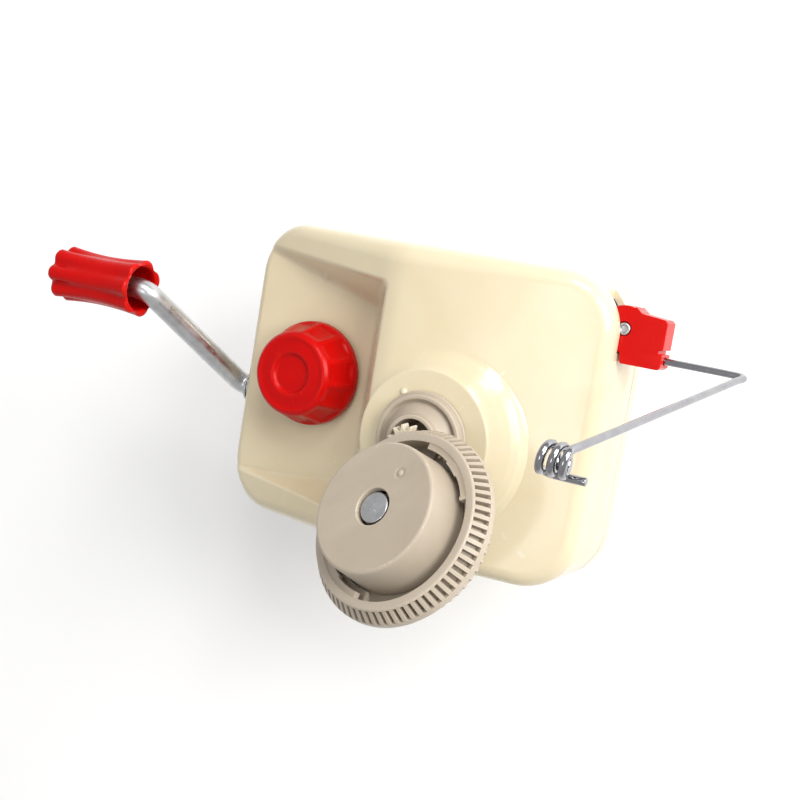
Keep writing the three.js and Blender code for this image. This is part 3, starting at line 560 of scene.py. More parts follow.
def case_height(x, y):
    """Height of the casing's top face, without the rounding of its outer edge."""
    low = LOW_TOP + (RIDGE_TOP - LOW_TOP) * (x - LEFT) / (RIDGE_X - LEFT)
    part = np.clip((x - RIDGE_X) / (RIGHT - RIDGE_X), 0, None)
    top = smooth_min(low, RIDGE_TOP - (RIDGE_TOP - END_TOP) * part ** 1.6, 1.6)
    rise = RIDGE_TOP - LOW_TOP
    back = LOW_TOP + (y - WELL_BACK + BACK_TAPER * (x - LEFT)) * rise / BACK_LEAN
    front = LOW_TOP + (WELL_FRONT + FRONT_TAPER * (x - LEFT) - y) * rise / FRONT_LEAN
    end = LOW_TOP + (x - WELL_END) * rise / END_LEAN
    walls = smooth_max(smooth_max(back, end, 5.0), front, 5.0)
    radius = np.hypot(x, y)
    flare = BOSS_TOP + np.interp(radius, BOSS_FLARE[:, 0], BOSS_FLARE[:, 1])
    top = smooth_max(top, flare, 1.2)
    top = smooth_min(top, smooth_max(LOW_TOP, walls, 2.6), 1.5)
    wall_nub = np.hypot(x + 61.0, y - 48.8)
    top = top + 0.9 * np.exp(-wall_nub ** 2 / 1.6)
    face = BOSS_TOP + np.interp(radius, BOSS_FACE[:, 0], BOSS_FACE[:, 1])
    top = smooth_max(top, face, 0.5)
    boss_nub = np.hypot(x + 10.0, y - 15.2)
    return np.minimum(top, BOSS_TOP) + 0.8 * np.exp(-(boss_nub / 1.15) ** 4)


def casing_shell():
    """One closed shell: outside, bore, inside and bottom rim."""
    count = int(2 * (RIGHT - LEFT + BACK - FRONT) / OUTLINE_STEP)
    edge_line, out = outline(count)
    ridge = np.interp(edge_line[:, 0], [LEFT, RIDGE_X, RIGHT], [EDGE_LOW, EDGE_RIDGE, EDGE_END])
    rows = []

    def row(points, heights):
        """Adds a ring of points, from the outside of the shell to its inside."""
        rows.append(np.column_stack([points, np.broadcast_to(heights, len(points))]))

    def drop(depth):
        """The outline moved inward."""
        return edge_line - out * np.asarray(depth)[..., None]

    low_round = 0.5
    row(drop(low_round), COVER_BOTTOM)
    row(drop(0.12), COVER_BOTTOM + 0.12)
    row(edge_line, COVER_BOTTOM + low_round)
    shoulder = case_height(*drop(ridge).T) - ridge
    for share in (0.25, 0.5, 0.75):
        row(edge_line, COVER_BOTTOM + low_round + (shoulder - COVER_BOTTOM - low_round) * share)
    for angle in np.radians(np.linspace(0, 84, 11)):
        points = drop(ridge * (1 - math.cos(angle)))
        row(points, case_height(*points.T) - ridge * (1 - math.sin(angle)))
    start = drop(ridge)
    ray = start / np.linalg.norm(start, axis=1)[:, None]
    reach = np.linalg.norm(start, axis=1)
    for share in np.linspace(0, 1, 170):
        points = ray * (reach + (BOSS_BORE + 0.5 - reach) * share)[:, None]
        row(points, case_height(*points.T))
    for radius, z in (
        (BOSS_BORE + 0.12, BOSS_TOP - 0.12), (BOSS_BORE, BOSS_TOP - 0.5), (BOSS_BORE, BOSS_SEAT),
        (HUB_BORE, BOSS_SEAT), (HUB_BORE, 20), (BOSS_WALL, 20), (BOSS_WALL, 34),
    ):
        row(ray * radius, z)
    inner = drop(WALL + 2.5)
    inner_reach = np.linalg.norm(inner, axis=1)
    inner_ray = inner / inner_reach[:, None]
    for share in np.linspace(0, 1, 30):
        points = inner_ray * (BOSS_WALL + (inner_reach - BOSS_WALL) * share)[:, None]
        row(points, case_height(*points.T) - WALL - 1.2)
    row(drop(WALL), case_height(*inner.T) - WALL - 5.5)
    row(drop(WALL), COVER_BOTTOM)
    return raw(quilt(np.swapaxes(np.array(rows), 0, 1), wrap_v=True))


def casing():
    """The front cover, with the guide's lug and pocket and the holes for crank and bolt."""
    shell = casing_shell()
    lug_radius = 5.5
    lug = np.vstack([
        arc(GUIDE_X, GUIDE_Y, lug_radius, -90, 90, 24),
        [[RIGHT - 4, GUIDE_Y + lug_radius], [RIGHT - 4, GUIDE_Y - lug_radius]],
    ])
    lug_top = BLOCK_LOW[2] - 0.4
    combine(shell, [raw(prism(lug, lug_top - 3.8, lug_top))], "UNION")
    pocket = rounded_box(RIGHT - 7.7, 80, 41.6, 90, 1.2)
    combine(shell, [
        raw(prism(pocket, lug_top, BLOCK_HIGH[2] + 0.4)),
        raw(rod(2, 15, 22, 32, (GUIDE_X, GUIDE_Y, 0))),
        raw(along_x(rod(6.1, 0, 14, 48), LEFT - 5, 0, CRANK_Z)),
        raw(rod(3.6, 0, 40, 40, (KNOB_X, KNOB_Y, 0))),
    ])
    piece("casing", shell, "base", "cream_plastic", ["front_cover"], 50)


def rear_plate():
    """The thin cover that closes the casing and lies on the table."""
    edge_line, out = outline(300)

    def loop(inset, z):
        """The outline moved inward, at one height."""
        return np.column_stack([edge_line - out * inset, np.full(len(edge_line), z)])

    tray = raw(loft([
        loop(1.2, 0), loop(0.55, 0.12), loop(0.15, 0.5), loop(0, 1.1), loop(0, SPLIT - 0.5),
        loop(0.15, SPLIT - 0.12), loop(0.5, SPLIT), loop(WALL, SPLIT), loop(WALL + 0.2, 3.0),
    ]))
    jaw_low, _ = box_mm("clamp_jaw")
    slot = rounded_box(jaw_low[0] - 0.6, jaw_low[0] + 3.6, KNOB_Y - 6.6, KNOB_Y + 6.6, 0.8)
    tools = [
        raw(prism(slot, -1, 8)),
        raw(rod(3.5, -1, 8, 40, (KNOB_X, KNOB_Y, 0))),
        raw(rod(2.8, 0.8, 8, 40)),
    ]
    for i in range(1, 5):
        low, high = box_mm(f"cover_screw_{i}")
        centre = (*((low + high) / 2)[:2], 0)
        counterbore = [[0, -1], [3.3, -1], [3.3, 2.4], [1.7, 2.4], [1.7, 8], [0, 8]]
        tools.append(raw(revolve(counterbore, 40, centre)))
    combine(tray, tools)
    piece("rear_plate", tray, "base", "cream_plastic", ["back_cover"], 40, flats=True)


def screws():
    """Cross-head screws, seen from below in their counterbores."""
    for i in range(1, 5):
        low, high = box_mm(f"cover_screw_{i}")
        x, y = ((low + high) / 2)[:2]
        top, bottom = high[2], low[2]
        body = raw(revolve(fillet([
            [0, bottom], [2.2, bottom], [2.9, bottom + 0.6], [2.9, bottom + 1.7], [1.4, bottom + 1.7],
            [1.4, top - 0.8], [0, top],
        ], 0.25), 40, (x, y, 0)))
        blades = []
        for wide, tall in ((1.7, 0.42), (0.42, 1.7)):
            corners = rounded_box(x - wide, x + wide, y - tall, y + tall, 0.15, 3)
            blades.append(raw(prism(corners, bottom - 1, bottom + 0.95)))
        combine(body, blades)
        piece(f"screw_{i}", body, "base", "zinc_steel", [f"cover_screw_{i}"], 30)


# ---------------------------------------------------------------- table clamp


def knob():
    """Clamp knob: dished face, rim, twelve scallops down the flank and a plain skirt."""
    bottom, top = KNOB_LOW[2], KNOB_HIGH[2]
    radius = KNOB_HIGH[0] - KNOB_X
    face = radius - 4.7
    flutes = 12
    profile = fillet([
        [0, top - 1.4], [6.6, top - 1.4, 0.5], [7.9, top - 0.1, 0.9], [face - 2.6, top - 0.45, 1.2],
        [face - 0.9, top, 0.8], [face + 0.7, top - 1.5, 1.2], [radius - 0.35, bottom + 4.4, 0.8],
        [radius, bottom + 2.6, 0.5], [radius, bottom, 0.7], [radius - 2.2, bottom, 0.4],
        [radius - 2.6, bottom + 7, 0.5],
        [5.4, bottom + 8, 0.5], [5.2, bottom + 0.2, 0.3], [3.3, bottom + 0.2, 0.2], [3.3, bottom + 13.6],
        [0, bottom + 13.6],
    ], 0.5, 5)
    outer = int(np.argmax(profile[:, 1] <= bottom + 0.01))
    dense = [profile[0]]
    for a, b in zip(profile[:outer], profile[1:outer + 1]):
        steps = max(1, int(np.linalg.norm(b - a) / 0.45))
        dense += [a + (b - a) * (i + 1) / steps for i in range(steps)]
    profile = np.vstack([dense, profile[outer + 1:]])
    low_end, high_end = bottom + 3.6, top - 2.0

    def scallop(angle, reach, z):
        """Radius of the flank with its hollows, which fade out toward both ends."""
        wave = np.abs(((angle / TURN * flutes + 0.15) % 1) - 0.5) * 2
        hollow = np.clip(1 - (wave / 0.86) ** 2, 0, None) ** 0.8
        part = np.clip((z - low_end) / (high_end - low_end), 0, 1)
        ends = np.clip(part / 0.1, 0, 1) * np.clip((1 - part) / 0.2, 0, 1) ** 0.5
        outside = reach > face * 0.98
        return reach - 1.0 * hollow * ends * outside

    body = raw(revolve(profile, flutes * 24, (KNOB_X, KNOB_Y, 0), scallop))
    piece("knob", body, "knob", "red_plastic", ["clamp_knob"], 50)


def bolt_washer_nut():
    """Bolt with a rolled thread, the washer under the knob and the jaw's hexagon nut."""
    low, high = box_mm("clamp_bolt")
    head = COVER_BOTTOM + 21.9
    thread_top = head - 2.0
    pitch, depth = 1.0, 0.32

    def thread(angle, reach, z):
        """Radius of the bolt with its thread, a right-hand helix."""
        phase = (z / pitch - angle / TURN) % 1
        ridge = np.abs(phase - 0.5) * 2
        on = (reach > 2.9) & (z < thread_top) & (z > low[2] + 0.8)
        return reach - depth * ridge * on

    rows = [[0, low[2]], [2.3, low[2]], [3, low[2] + 0.7]]
    rows += [[3, z] for z in np.arange(low[2] + 0.8, thread_top, pitch / 6)]
    rows += [[3, head], [3, high[2] - 0.4], [2.6, high[2]], [0, high[2]]]
    bolt = raw(revolve(rows, 48, (KNOB_X, KNOB_Y, 0), thread))
    piece("bolt", bolt, "knob", "zinc_steel", ["clamp_bolt"], 60)

    low, high = box_mm("knob_washer")
    reach = high[0] - KNOB_X
    washer = raw(revolve(fillet([
        [3.3, low[2]], [reach, low[2]], [reach, high[2]], [3.3, high[2]], [3.3, low[2]],
    ], 0.25), 64, (KNOB_X, KNOB_Y, 0)))
    piece("washer", washer, "base", "zinc_steel", ["knob_washer"])

    low, high = box_mm("jaw_nut")
    hexagon = arc(KNOB_X, KNOB_Y, 7, 0, 300, 6)
    nut = raw(prism(hexagon, low[2], high[2]))
    combine(nut, [raw(rod(3.3, low[2] - 2, high[2] + 2, 40, (KNOB_X, KNOB_Y, 0)))])
    bevel(nut, 0.45, 2)
    piece("nut", nut, "jaw", "zinc_steel", ["jaw_nut"], flats=True)


def jaw_and_pad():
    """Jaw bent from plate, notched at its upper end, and its ribbed rubber pad."""
    low, high = box_mm("clamp_jaw")
    plate = 3.0
    leg_top = low[2] + plate
    bend = 2.4
    side = np.vstack([
        [[high[0], low[2]], [high[0], leg_top]],
        arc(low[0] + plate + bend, leg_top + bend, bend, 270, 180, 8),
        [[low[0] + plate, high[2]], [low[0], high[2]]],
        arc(low[0] + plate + bend, leg_top + bend, bend + plate, 180, 270, 12),
    ])
    front = np.column_stack([side[:, 0], np.full(len(side), low[1]), side[:, 1]])
    rear = front + np.array([0, high[1] - low[1], 0])
    jaw = raw(loft([front, rear]))
    tab = 6.0
    trims = [
        raw(prism(rounded_box(low[0] - 4, low[0] + 8, a, b, 0.9, 4), leg_top + 1.6, high[2] + 4))
        for a, b in ((low[1] - 9, KNOB_Y - tab), (KNOB_Y + tab, high[1] + 9))
    ]
    hole = raw(rod(3.3, -60, 0, 40, (KNOB_X, KNOB_Y, 0)))
    combine(jaw, [*trims, hole])
    bevel(jaw, 0.4, 2)
    piece("jaw", jaw, "jaw", "zinc_steel", ["clamp_jaw"], flats=True)

    low, high = box_mm("jaw_pad")
    pad = raw(prism(rounded_box(low[0], high[0], low[1], high[1], 4), low[2], high[2]))
    grooves = []
    for x in np.arange(low[0] + 4, high[0] - 3, 4.0):
        groove = rounded_box(x, x + 1.4, low[1] - 3, high[1] + 3, 0.3, 3)
        grooves.append(raw(prism(groove, high[2] - 0.7, high[2] + 2)))
    combine(pad, grooves)
    bevel(pad, 0.3, 2)
    piece("pad", pad, "jaw", "rubber", ["jaw_pad"], flats=True)


# ---------------------------------------------------------------- crank and grip

CRANK_START, CRANK_BEND_X, CRANK_GRIP_X, CRANK_BEND = -26.8, -97.5, -118.2, 4.6


def crank():
    """Bent steel rod and the flanged sleeve it turns in."""
    corners = [
        [CRANK_START, 0, CRANK_Z], [CRANK_BEND_X, 0, CRANK_Z], [CRANK_GRIP_X, GRIP_Y, GRIP_Z],
        [box_mm("crank_rod")[0][0], GRIP_Y, GRIP_Z],
    ]
    bar = raw(sweep(bent_path(corners, CRANK_BEND), 4.0, 36, 0.8))
    piece("crank", bar, "crank", "zinc_steel", ["crank_rod"], 50)

    low, high = box_mm("shaft_bush")
    wide, narrow = 6.6, 5.8
    bush = raw(along_x(revolve(fillet([
        [4.3, 0], [wide, 0, 0.6], [wide, 1.1], [narrow, 1.1], [narrow, high[0] - low[0]],
        [4.3, high[0] - low[0]], [4.3, 0],
    ], 0.3), 64), low[0], 0, CRANK_Z))
    piece("bush", bush, "base", "zinc_steel", ["shaft_bush"])


def hand_grip():
    """Hollow waisted grip with seven rounded flutes, open toward the crank and closed at its end."""
    flutes, radius, bore, bore_depth, bearing = 7, 11.0, 8.0, 14.0, 4.3
    length = GRIP_HIGH[0] - GRIP_LOW[0]
    inside = length - (box_mm("crank_rod")[0][0] - GRIP_LOW[0]) + 0.3
    outside = []
    for part in np.linspace(0.035, 0.955, 40):
        outside.append([radius * (0.87 + 0.13 * abs(2 * part - 1) ** 1.8), -length * part])
    end = radius * 0.97
    profile = np.vstack([
        [[0, -inside], [bearing, -inside], [bearing, -bore_depth - 0.5], [bearing + 0.5, -bore_depth],
         [bore - 0.9, -bore_depth], [bore - 0.25, -bore_depth + 0.7]],
        [[bore + 0.02 * k, -bore_depth + 1.2 + k] for k in np.linspace(0, bore_depth - 2.2, 8)],
        [[bore + 0.5, -0.45], [bore + 1.1, -0.08], [radius - 1.2, 0.0], [radius - 0.45, -0.25],
         [radius - 0.08, -0.8]],
        outside,
        [[end * 0.985, -length * 0.972], [end * 0.94, -length * 0.987], [end * 0.86, -length * 0.997],
         [end * 0.72, -length], [end * 0.4, -length], [0, -length]],
    ])

    def lobes(angle, reach, z):
        """Radius with the flutes pressed in: full outside, none in the bore and at the bearing."""
        groove = (0.5 + 0.5 * np.cos(flutes * angle)) ** 1.6
        part = np.clip(-z / length, 0, 1)
        deep = 1.4 + 0.8 * part
        outer = np.clip((reach - bore - 0.9) / 1.4, 0, 1) * (reach > bore)
        closed_end = np.where((z <= -length * 0.96) & (reach < end), reach / end, outer)
        solid_part = np.where(reach > bearing + 0.8, closed_end, 0)
        return reach - deep * groove * np.where(z < -bore_depth - 1, solid_part, outer)

    points, faces = revolve(profile, flutes * 20, reach=lobes)
    body = raw(along_x((points, faces), GRIP_HIGH[0], GRIP_Y, GRIP_Z))
    piece("hand_grip", body, "grip", "red_plastic", ["grip"], 50)


# ---------------------------------------------------------------- hub, sun pinion and spindle

SUN_TEETH, SUN_RADIUS = 11, 5.86


def gear_outline(teeth, radius, addendum, dedendum, fill=0.72, start=0.0):
    """Straight-flanked gear teeth as (x, y) points."""
    step = TURN / teeth
    half = step / 4 * fill
    slope = math.tan(math.radians(20)) / radius
    points = []
    for i in range(teeth):
        centre = i * step + start
        for reach, angle in (
            (radius - dedendum, -half - slope * dedendum), (radius + addendum, -half + slope * addendum),
            (radius + addendum, half - slope * addendum), (radius - dedendum, half + slope * dedendum),
        ):
            points.append((reach * math.cos(centre + angle), reach * math.sin(centre + angle)))
    return np.array(points)


def sun():
    """Fixed pinion and its steel post, in the middle of the hub's cup."""
    low, high = box_mm("sun_pinion")
    apex = APEX[2] - low[2]
    teeth = gear_outline(SUN_TEETH, SUN_RADIUS, 0.75, 1.25, 0.7, REST_ANGLE)
    loops = []
    for z in (low[2], high[2]):
        ring = teeth * (1 - (z - low[2]) / apex)
        loops.append(np.column_stack([ring, np.full(len(ring), z)]))
    gear = raw(loft(loops))
    combine(gear, [raw(rod(2.8, low[2] - 1, high[2] + 1, 48))])
    bevel(gear, 0.18, 2)
    piece("sun_gear", gear, "base", "nylon", ["sun_pinion"], flats=True)
    low, high = box_mm("sun_post")
    post = raw(revolve(fillet([
        [0, low[2]], [2.5, low[2]], [2.5, 3.3], [5, 3.3], [5, 3.7], [2.5, 3.7], [2.5, high[2] - 0.5, 0.5],
        [1.9, high[2], 0.3], [0.6, high[2] - 0.15, 0.3], [0, high[2] - 0.3],
    ], 0.2), 48))
    piece("sun_axle", post, "base", "zinc_steel", ["sun_post"])


def hub():
    """Cup and arm of the carrier, cast in one piece."""
    wheel_bottom = box_mm("carrier_pinion")[0][2]
    cup = raw(revolve(fillet([
        [2.9, wheel_bottom], [4.2, wheel_bottom], [4.2, 7.7], [6, 7.7], [6, 36.5, 0.6], [12.3, 36.5, 0.5],
        [12.3, 48.7, 0.3], [17.4, 48.7, 0.5], [17.4, 49.7, 0.5], [16.2, 50.0, 0.4], [16.2, 52.5, 0.55],
        [14.7, 52.5, 0.45], [13.6, 50.4, 0.8], [9.5, 54.4, 0.6], [9.4, 57, 0.45], [7.9, 57, 0.45],
        [7.9, 40, 0.5], [2.9, 37, 0.4], [2.9, wheel_bottom],
    ], 0.3, 5), 144))
    arm = arm_blank()
    combine(arm, [spindle_rod(32.5, -27, 10, 128), raw(rod(15.9, 52.7, 62, 96), CARRIER)])
    cup.data.transform(Matrix.Rotation(REST_ANGLE, 4, "Z"))
    combine(arm, [spindle_rod(4.25, -60, 10, 64), spindle_rod(9.5, -70, -37.8, 64)])
    combine(arm, [raw(rod(14, wheel_bottom, 62, 96), CARRIER)])
    bevel(arm, 0.7, 3, 30)
    combine(arm, [cup], "UNION")
    piece("hub", arm, "carrier", "stone_plastic", ["carrier_hub"], 32, flats=True)


def spindle_rod(radius, bottom, top, segments):
    """A cylinder along the tilted axis, measured from the drum face."""
    return raw(rod(radius, bottom, top, segments), SPINDLE)


def spindle_point(above):
    """A point on the tilted axis in the carrier's own frame, measured from the drum face."""
    reach = APEX_TO_FACE - above
    return math.sin(TILT) * reach, APEX[2] - math.cos(TILT) * reach


def arm_blank():
    """Web from the cup out to the spindle's socket, before it is cut to shape."""
    foot_x, foot_z = spindle_point(-38)
    wide = 8.0
    plan = np.vstack([[[12.5, wide], [12.5, -wide]], arc(foot_x, 0, wide, -90, 90, 32)])
    web = raw(prism(plan, 40, 90), CARRIER)
    side = np.array([
        [12.5, 48.9], [18, 48.9], [foot_x + 8, foot_z + 1.5], [foot_x + 8, foot_z + 8], [12.5, 52.2],
    ])
    front = np.column_stack([side[:, 0], np.full(len(side), -wide), side[:, 1]])
    combine(web, [raw(loft([front, front + np.array([0, 2 * wide, 0])]), CARRIER)], "INTERSECT")
    socket = raw(revolve(fillet([[0, -38], [8.2, -38], [7.6, -28.6], [0, -28.6]], 0.5), 96), SPINDLE)
    return combine(web, [socket], "UNION")


def spindle():
    """Steel pin the bobbin turns on, its head dimpled by the turning centre."""
    pin = raw(revolve(fillet([
        [0, -39.5], [3, -39.5], [3, -38.7], [2.4, -38.7], [2.4, -37.9], [3.9, -37.9], [3.9, -3.6],
        [5.3, -3.6], [5.3, -0.9, 0.5], [4.7, -0.6, 0.5], [0, -0.6],
    ], 0.25), 72), SPINDLE)
    dimples = []
    for x, y in ((-1.2, 0.5), (1.3, 0.7), (0.2, -1.1)):
        spot = Matrix.Translation((x, y, 0))
        dimples.append(raw(revolve([[0, -1.0], [0.45, -0.75], [0.6, 0.2], [0, 0.2]], 20), SPINDLE @ spot))
    combine(pin, dimples)
    piece("spindle", pin, "carrier", "zinc_steel", ["spindle_pin"], flats=True)


# ---------------------------------------------------------------- bobbin

SLOTS, SLOT_DEPTH = 72, 2.6
RING_TEETH, RING_RADIUS = 56, 29.0
# Distances from the apex to the tooth crown's outer end, its inner end and its pitch circle.
CROWN_FAR, CROWN_NEAR, CROWN_MIDDLE = 66.0, 58.9, 64.1
RIM_IN, LUG_SPAN = 27.8, 59


def skirt():
    """The bobbin's skirt with its flat front rim and a ring of slots, before windows are cut."""
    profile = np.array([
        [4.3, -26.3], [7.7, -26.3], [8, -26.0], [8, -21.3], [8.3, -21], [21.7, -20.1], [22, -20.4],
        [22, -25.6], [24, -25.6], [24, -19.6], [24.3, -19.2], [33.3, -19.2], [33.75, -19.0],
        [34.0, -18.6], [34.02, -17.6],
        [33.95, -16.8], [33.88, -16.45], [33.87, -16.4], [33.45, -15.4], [32.3, -13.65], [31.06, -11.75],
        [31.03, -11.7], [30.85, -11.35], [30.6, -11.1], [30.2, -11.0], [RIM_IN + 0.3, -11.0],
        [RIM_IN + 0.08, -11.1], [RIM_IN, -11.4], [RIM_IN, -16.9], [RIM_IN - 0.3, -17.2], [6, -17.2],
        [6, -4.2], [5.8, -4], [4.3, -4],
    ])
    slot_rows = (profile[:, 1] > -16.43) & (profile[:, 1] < -11.73) & (profile[:, 0] > 31.04)
    offsets = np.array([0.0, 0.12, 0.23, 0.26, 0.34, 0.44, 0.56, 0.66, 0.74, 0.77, 0.84, 0.92])
    in_slot = np.array([0, 0, 0, 1, 1, 1, 1, 1, 1, 0, 0, 0], bool)
    angle = np.array([(i + offset) / SLOTS * TURN for i in range(SLOTS) for offset in offsets])
    sunk = np.tile(in_slot, SLOTS)
    radius = np.broadcast_to(profile[:, 0], (len(angle), len(profile))).copy()
    height = np.broadcast_to(profile[:, 1], radius.shape).copy()
    both = sunk[:, None] & slot_rows[None, :]
    radius[both] -= SLOT_DEPTH * 0.87
    height[both] -= SLOT_DEPTH * 0.2
    points = np.stack([radius * np.cos(angle[:, None]), radius * np.sin(angle[:, None]), height], -1)
    return raw(quilt(points, wrap_v=True), SPINDLE)


def tooth_crown():
    """Ring of bevel teeth behind the skirt, running in toward the apex."""
    pitch_radius = RING_RADIUS * CROWN_FAR / CROWN_MIDDLE
    teeth = gear_outline(RING_TEETH, pitch_radius, 0.7, 1.3, start=math.pi + TURN / RING_TEETH / 2)
    loops = []
    for distance, limit in (
        (CROWN_FAR, 28.9), (CROWN_FAR - 2.5, 29.3), (CROWN_FAR - 3.6, 40), (CROWN_NEAR + 0.3, 40),
    ):
        ring = teeth * (distance / CROWN_FAR)
        reach = np.hypot(*ring.T)[:, None]
        ring = ring * np.minimum(reach, limit) / reach
        loops.append(np.column_stack([ring, np.full(len(ring), APEX_TO_FACE - distance)]))
    crown = raw(loft(loops), SPINDLE)
    combine(crown, [spindle_rod(23, -40, 0, 96)])
    return bevel(crown, 0.12, 1)


def bobbin_ring():
    """Skirt and tooth crown in one piece, with two windows and a winding lug over each."""
    body, crown = skirt(), tooth_crown()
    windows, lugs = [], []
    for start in (86, -94):
        windows.append(arc_block(24.2, 26.4, start - 1, start + LUG_SPAN + 2, -30, -15))
        windows.append(arc_block(24.2, RIM_IN - 0.3, start - 1, start + LUG_SPAN + 2, -18.6, -15))
        plan = [arc(0, 0, RIM_IN + 0.3, start, start + LUG_SPAN, 30)]
        for reach, first, last in ((25.8, LUG_SPAN, 36), (25.2, 36, 21), (25.8, 21, 3), (25.4, 3, 0)):
            plan.append(arc(0, 0, reach, start + first, start + last, 10))
        lugs.append(raw(prism(np.vstack(plan), -13.4, -11.2), SPINDLE))
    combine(body, windows)
    for lug in lugs:
        combine(body, [bevel(lug, 0.2, 2)], "UNION")
    combine(body, [crown], "UNION")
    piece("bobbin_ring", body, "bobbin", "stone_plastic", ["bobbin_wheel"], 34, flats=True)


def arc_block(inner, outer, start, end, bottom, top):
    """A curved block round the spindle, angles in degrees."""
    steps = max(6, int((end - start) / 2))
    plan = np.vstack([arc(0, 0, outer, start, end, steps), arc(0, 0, inner, end, start, steps)])
    return raw(prism(plan, bottom, top), SPINDLE)


def drum():
    """Smooth drum with a slightly drafted side and the mark of its moulding gate."""
    face = [[reach, -0.02 * (reach - 6.9) / 14] for reach in np.arange(21.4, 7.2, -0.3)]
    profile = np.vstack([
        fillet([
            [6.3, -2.6], [20.2, -2.6, 0.4], [21.2, -16.8, 0.2], [23.6, -16.8, 0.2], [22.7, -1.3, 0.3],
            [22.45, -0.35, 0.8], [21.7, -0.02, 0.4], [21.4, -0.02],
        ], 0.3, 7),
        face, fillet([[7.0, 0], [6.5, 0, 0.3], [6.3, -0.4, 0.2], [6.3, -2.6]], 0.3, 4),
    ])
    points, faces = revolve(profile, 480)
    gate_angle, gate_reach = math.radians(127), 13.8
    gate_x, gate_y = gate_reach * math.cos(gate_angle), gate_reach * math.sin(gate_angle)
    away = np.hypot(points[:, 0] - gate_x, points[:, 1] - gate_y)
    mark = 0.3 * np.exp(-(away / 0.8) ** 4) - 0.25 * np.exp(-((away - 1.45) / 0.4) ** 2)
    points[:, 2] += np.where(points[:, 2] > -0.1, mark, 0)
    piece("drum", raw((points, faces), SPINDLE), "bobbin", "stone_plastic", ["bobbin_drum"], 40)


# ---------------------------------------------------------------- yarn guide


def yarn_block():
    """Swinging block and its shouldered screw."""
    right, back = BLOCK_HIGH[0], 56.4
    pivot_reach = 8.0
    plan = np.vstack([
        [[GUIDE_X + 0.6, WIRE_Y - 3.2], [right - 1, WIRE_Y - 3.2], [right, WIRE_Y - 2.2],
         [right, back - 1.8], [right - 1, back - 0.8], [GUIDE_X + 5.4, back],
         [GUIDE_X + 3, GUIDE_Y + pivot_reach]],
        arc(GUIDE_X, GUIDE_Y, pivot_reach, 70, 250, 40), [[GUIDE_X - 0.2, GUIDE_Y - pivot_reach]],
    ])
    low, high = BLOCK_LOW[2], BLOCK_HIGH[2]
    block = raw(prism(plan, low, high))
    notch = rounded_box(right - 1.5, right + 3, WIRE_Y + 2.2, WIRE_Y + 3.6, 0.3, 3)
    bore = along_x(revolve([[0, 0], [3.1, 0], [3.1, 3.2], [1.55, 3.2], [1.55, 14], [0, 14]], 40),
                   right - 9.6, WIRE_Y, WIRE_Z)
    socket = revolve([
        [0, low - 3], [2, low - 3], [2, high - 1], [2.5, high - 1], [2.5, high + 3], [0, high + 3],
    ], 48, (GUIDE_X, GUIDE_Y, 0))
    combine(block, [raw(prism(notch, low - 1, high + 1)), raw(socket)])
    bevel(block, 0.45, 3)
    combine(block, [raw(bore)])
    piece("yarn_block", block, "guide", "red_plastic", ["guide_block"], flats=True)

    bottom, top = (corner[2] for corner in box_mm("guide_pivot"))
    pin = raw(revolve(fillet([
        [0, bottom], [1.7, bottom], [1.7, high - 0.75], [2.2, high - 0.75], [2.2, high - 0.1, 0.4],
        [1.5, top, 0.2], [1.1, high - 0.6, 0.1], [0, high - 0.6],
    ], 0.15), 48, (GUIDE_X, GUIDE_Y, 0)))
    piece("guide_rivet", pin, "base", "zinc_steel", ["guide_pivot"])


def yarn_wire():
    """Bent wire with the pigtail eye, and the stop ring that keeps it in the block."""
    right = BLOCK_HIGH[0]
    elbow_x, eye_x, eye_y, eye_z = 101.0, 85.0, 21.0, 128.0
    coil, turns, pitch, tail_reach, tail_end = 3.85, 2.55, 3.4, 6.6, 88.5
    tail_angle = math.radians(222)
    points = [
        [right - 9.2, WIRE_Y, WIRE_Z], [right - 4, WIRE_Y, WIRE_Z], [elbow_x - 6, WIRE_Y, WIRE_Z],
        [elbow_x - 1.4, WIRE_Y - 0.1, WIRE_Z + 0.4], [elbow_x - 0.1, WIRE_Y - 0.4, WIRE_Z + 1.9],
    ]

    def round_at(x, reach, angle):
        """A point beside the coil's axis, which runs along X."""
        return [x, eye_y - coil + reach * math.cos(angle), eye_z + 2 + reach * math.sin(angle)]

    start = math.radians(11)
    top_end = np.array(round_at(eye_x, coil, start))
    foot = np.array([elbow_x, WIRE_Y, WIRE_Z])
    points += [list(foot + (top_end - foot) * part) for part in (0.06, 0.1, 0.3, 0.5, 0.7, 0.9, 0.98)]
    for step_count in range(int(turns * 12) + 1):
        turn = start / TURN + step_count / 12
        points.append(round_at(eye_x - pitch * turn, coil, turn * TURN))
    last = points[-1][0]
    points += [
        round_at(last - 0.4, coil + 1, tail_angle - math.radians(8)),
        round_at(last + 0.6, tail_reach - 0.3, tail_angle),
        round_at(last + 2.4, tail_reach, tail_angle), round_at(tail_end, tail_reach, tail_angle),
    ]
    wire = raw(sweep(centripetal(points, 8), 1.25, 20, 0.25))
    piece("yarn_wire", wire, "wire", "chrome", ["wire_guide"], 50)

    low, high = box_mm("wire_collar")
    ring = raw(along_x(revolve(fillet([
        [1.5, 0], [2.7, 0], [2.7, high[0] - low[0]], [1.5, high[0] - low[0]], [1.5, 0],
    ], 0.25), 40), low[0], WIRE_Y, WIRE_Z))
    piece("collar", ring, "wire", "zinc_steel", ["wire_collar"])


# ---------------------------------------------------------------- build

casing()
rear_plate()
screws()
knob()
bolt_washer_nut()
jaw_and_pad()
crank()
hand_grip()
sun()
hub()
spindle()
bobbin_ring()
drum()
yarn_block()
yarn_wire()

SLOT_OF = {part["node"]: part["material_slot"] for part in frame["record"]["subparts"]}
for node, obj in frame["nodes"].items():
    obj.data.materials.clear()
    obj.data.materials.append(MATERIALS[SLOT_OF[node]])

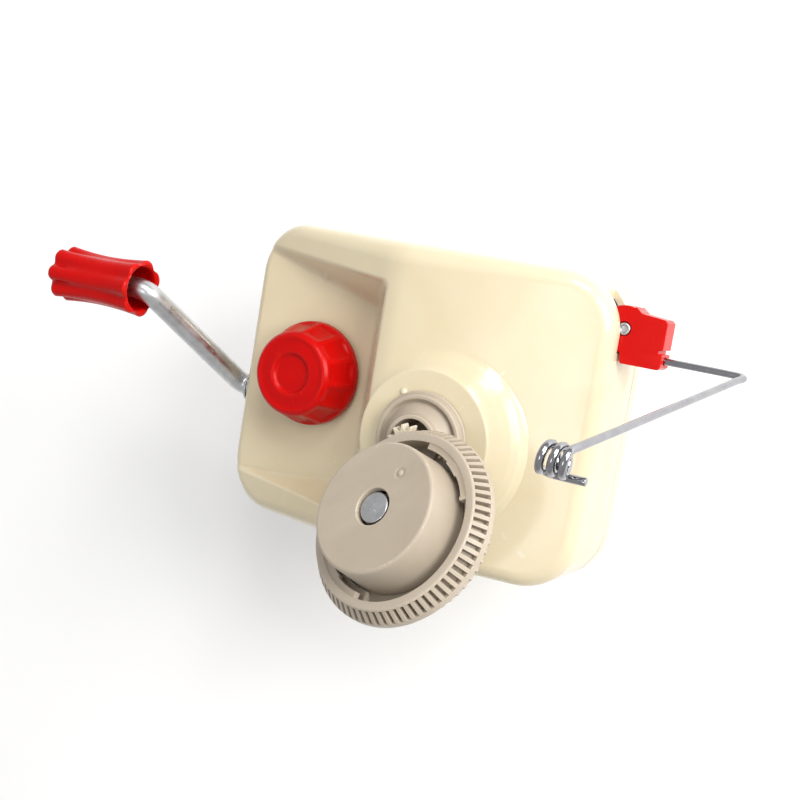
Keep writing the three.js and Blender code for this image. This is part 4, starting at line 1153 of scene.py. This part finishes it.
# ---------------------------------------------------------------- stage, light and camera

FLOOR_Z = cad_box[0][2] - 0.0005


def stage():
    """A plain pale floor just under the winder."""
    data = bpy.data.meshes.new("floor")
    half = 3.0
    corners = ((-half, -half), (half, -half), (half, half), (-half, half))
    data.from_pydata([(x, y, FLOOR_Z) for x, y in corners], [], [(0, 1, 2, 3)])
    floor = bpy.data.objects.new("floor", data)
    bpy.context.scene.collection.objects.link(floor)
    surface = Surface("floor_paper", Roughness=0.9, Specular_IOR_Level=0.1)
    clouds = surface.spread(surface.noise(180, 3), 0, 1)
    tint = surface.mix(clouds, srgb(255, 255, 255), srgb(252, 252, 252))
    floor.data.materials.append(surface.wire(tint))


CAMERA_AT = np.array([210.2, 71.2, 480.7]) * MM
CAMERA_RIGHT = Vector((0.8693, 0.1630, -0.4667))
CAMERA_BACK = Vector((0.4519, 0.1207, 0.8839))


def camera():
    """Looks steeply down on the winder from its back end."""
    back = CAMERA_BACK.normalized()
    up = back.cross(CAMERA_RIGHT).normalized()
    right = up.cross(back)
    data = bpy.data.cameras.new("camera")
    data.sensor_width = 36
    data.lens = 62.7
    data.clip_start = 0.02
    seen = bpy.data.objects.new("camera", data)
    seen.matrix_world = Matrix((right, up, back)).transposed().to_4x4()
    seen.location = CAMERA_AT
    bpy.context.scene.collection.objects.link(seen)
    bpy.context.scene.camera = seen


def area_light(name, place, target, size, power, colour=(1, 1, 1)):
    """A rectangular soft light turned toward its target."""
    data = bpy.data.lights.new(name, "AREA")
    data.shape = "RECTANGLE"
    data.size, data.size_y = size
    data.energy = power
    data.color = colour
    lamp = bpy.data.objects.new(name, data)
    lamp.location = place
    lamp.rotation_euler = (Vector(target) - Vector(place)).to_track_quat("-Z", "Y").to_euler()
    bpy.context.scene.collection.objects.link(lamp)


def lights():
    """Soft studio light from above and behind, with an even pale surround."""
    centre = (-0.01, 0.01, 0.03)
    area_light("key", (0.85, 0.42, 0.55), centre, (0.60, 0.60), 13.0, (1.0, 0.985, 0.96))
    area_light("window", (0.30, 0.75, 0.70), centre, (0.30, 0.45), 4.0)
    area_light("overhead", (0.04, -0.08, 0.85), centre, (0.24, 0.26), 0.6)
    world = bpy.data.worlds.new("studio")
    world.use_nodes = True
    background = world.node_tree.nodes["Background"]
    background.inputs["Color"].default_value = (1, 1, 1, 1)
    background.inputs["Strength"].default_value = 0.6
    bpy.context.scene.world = world
    bpy.context.scene.view_settings.view_transform = "Standard"


stage()
camera()
lights()
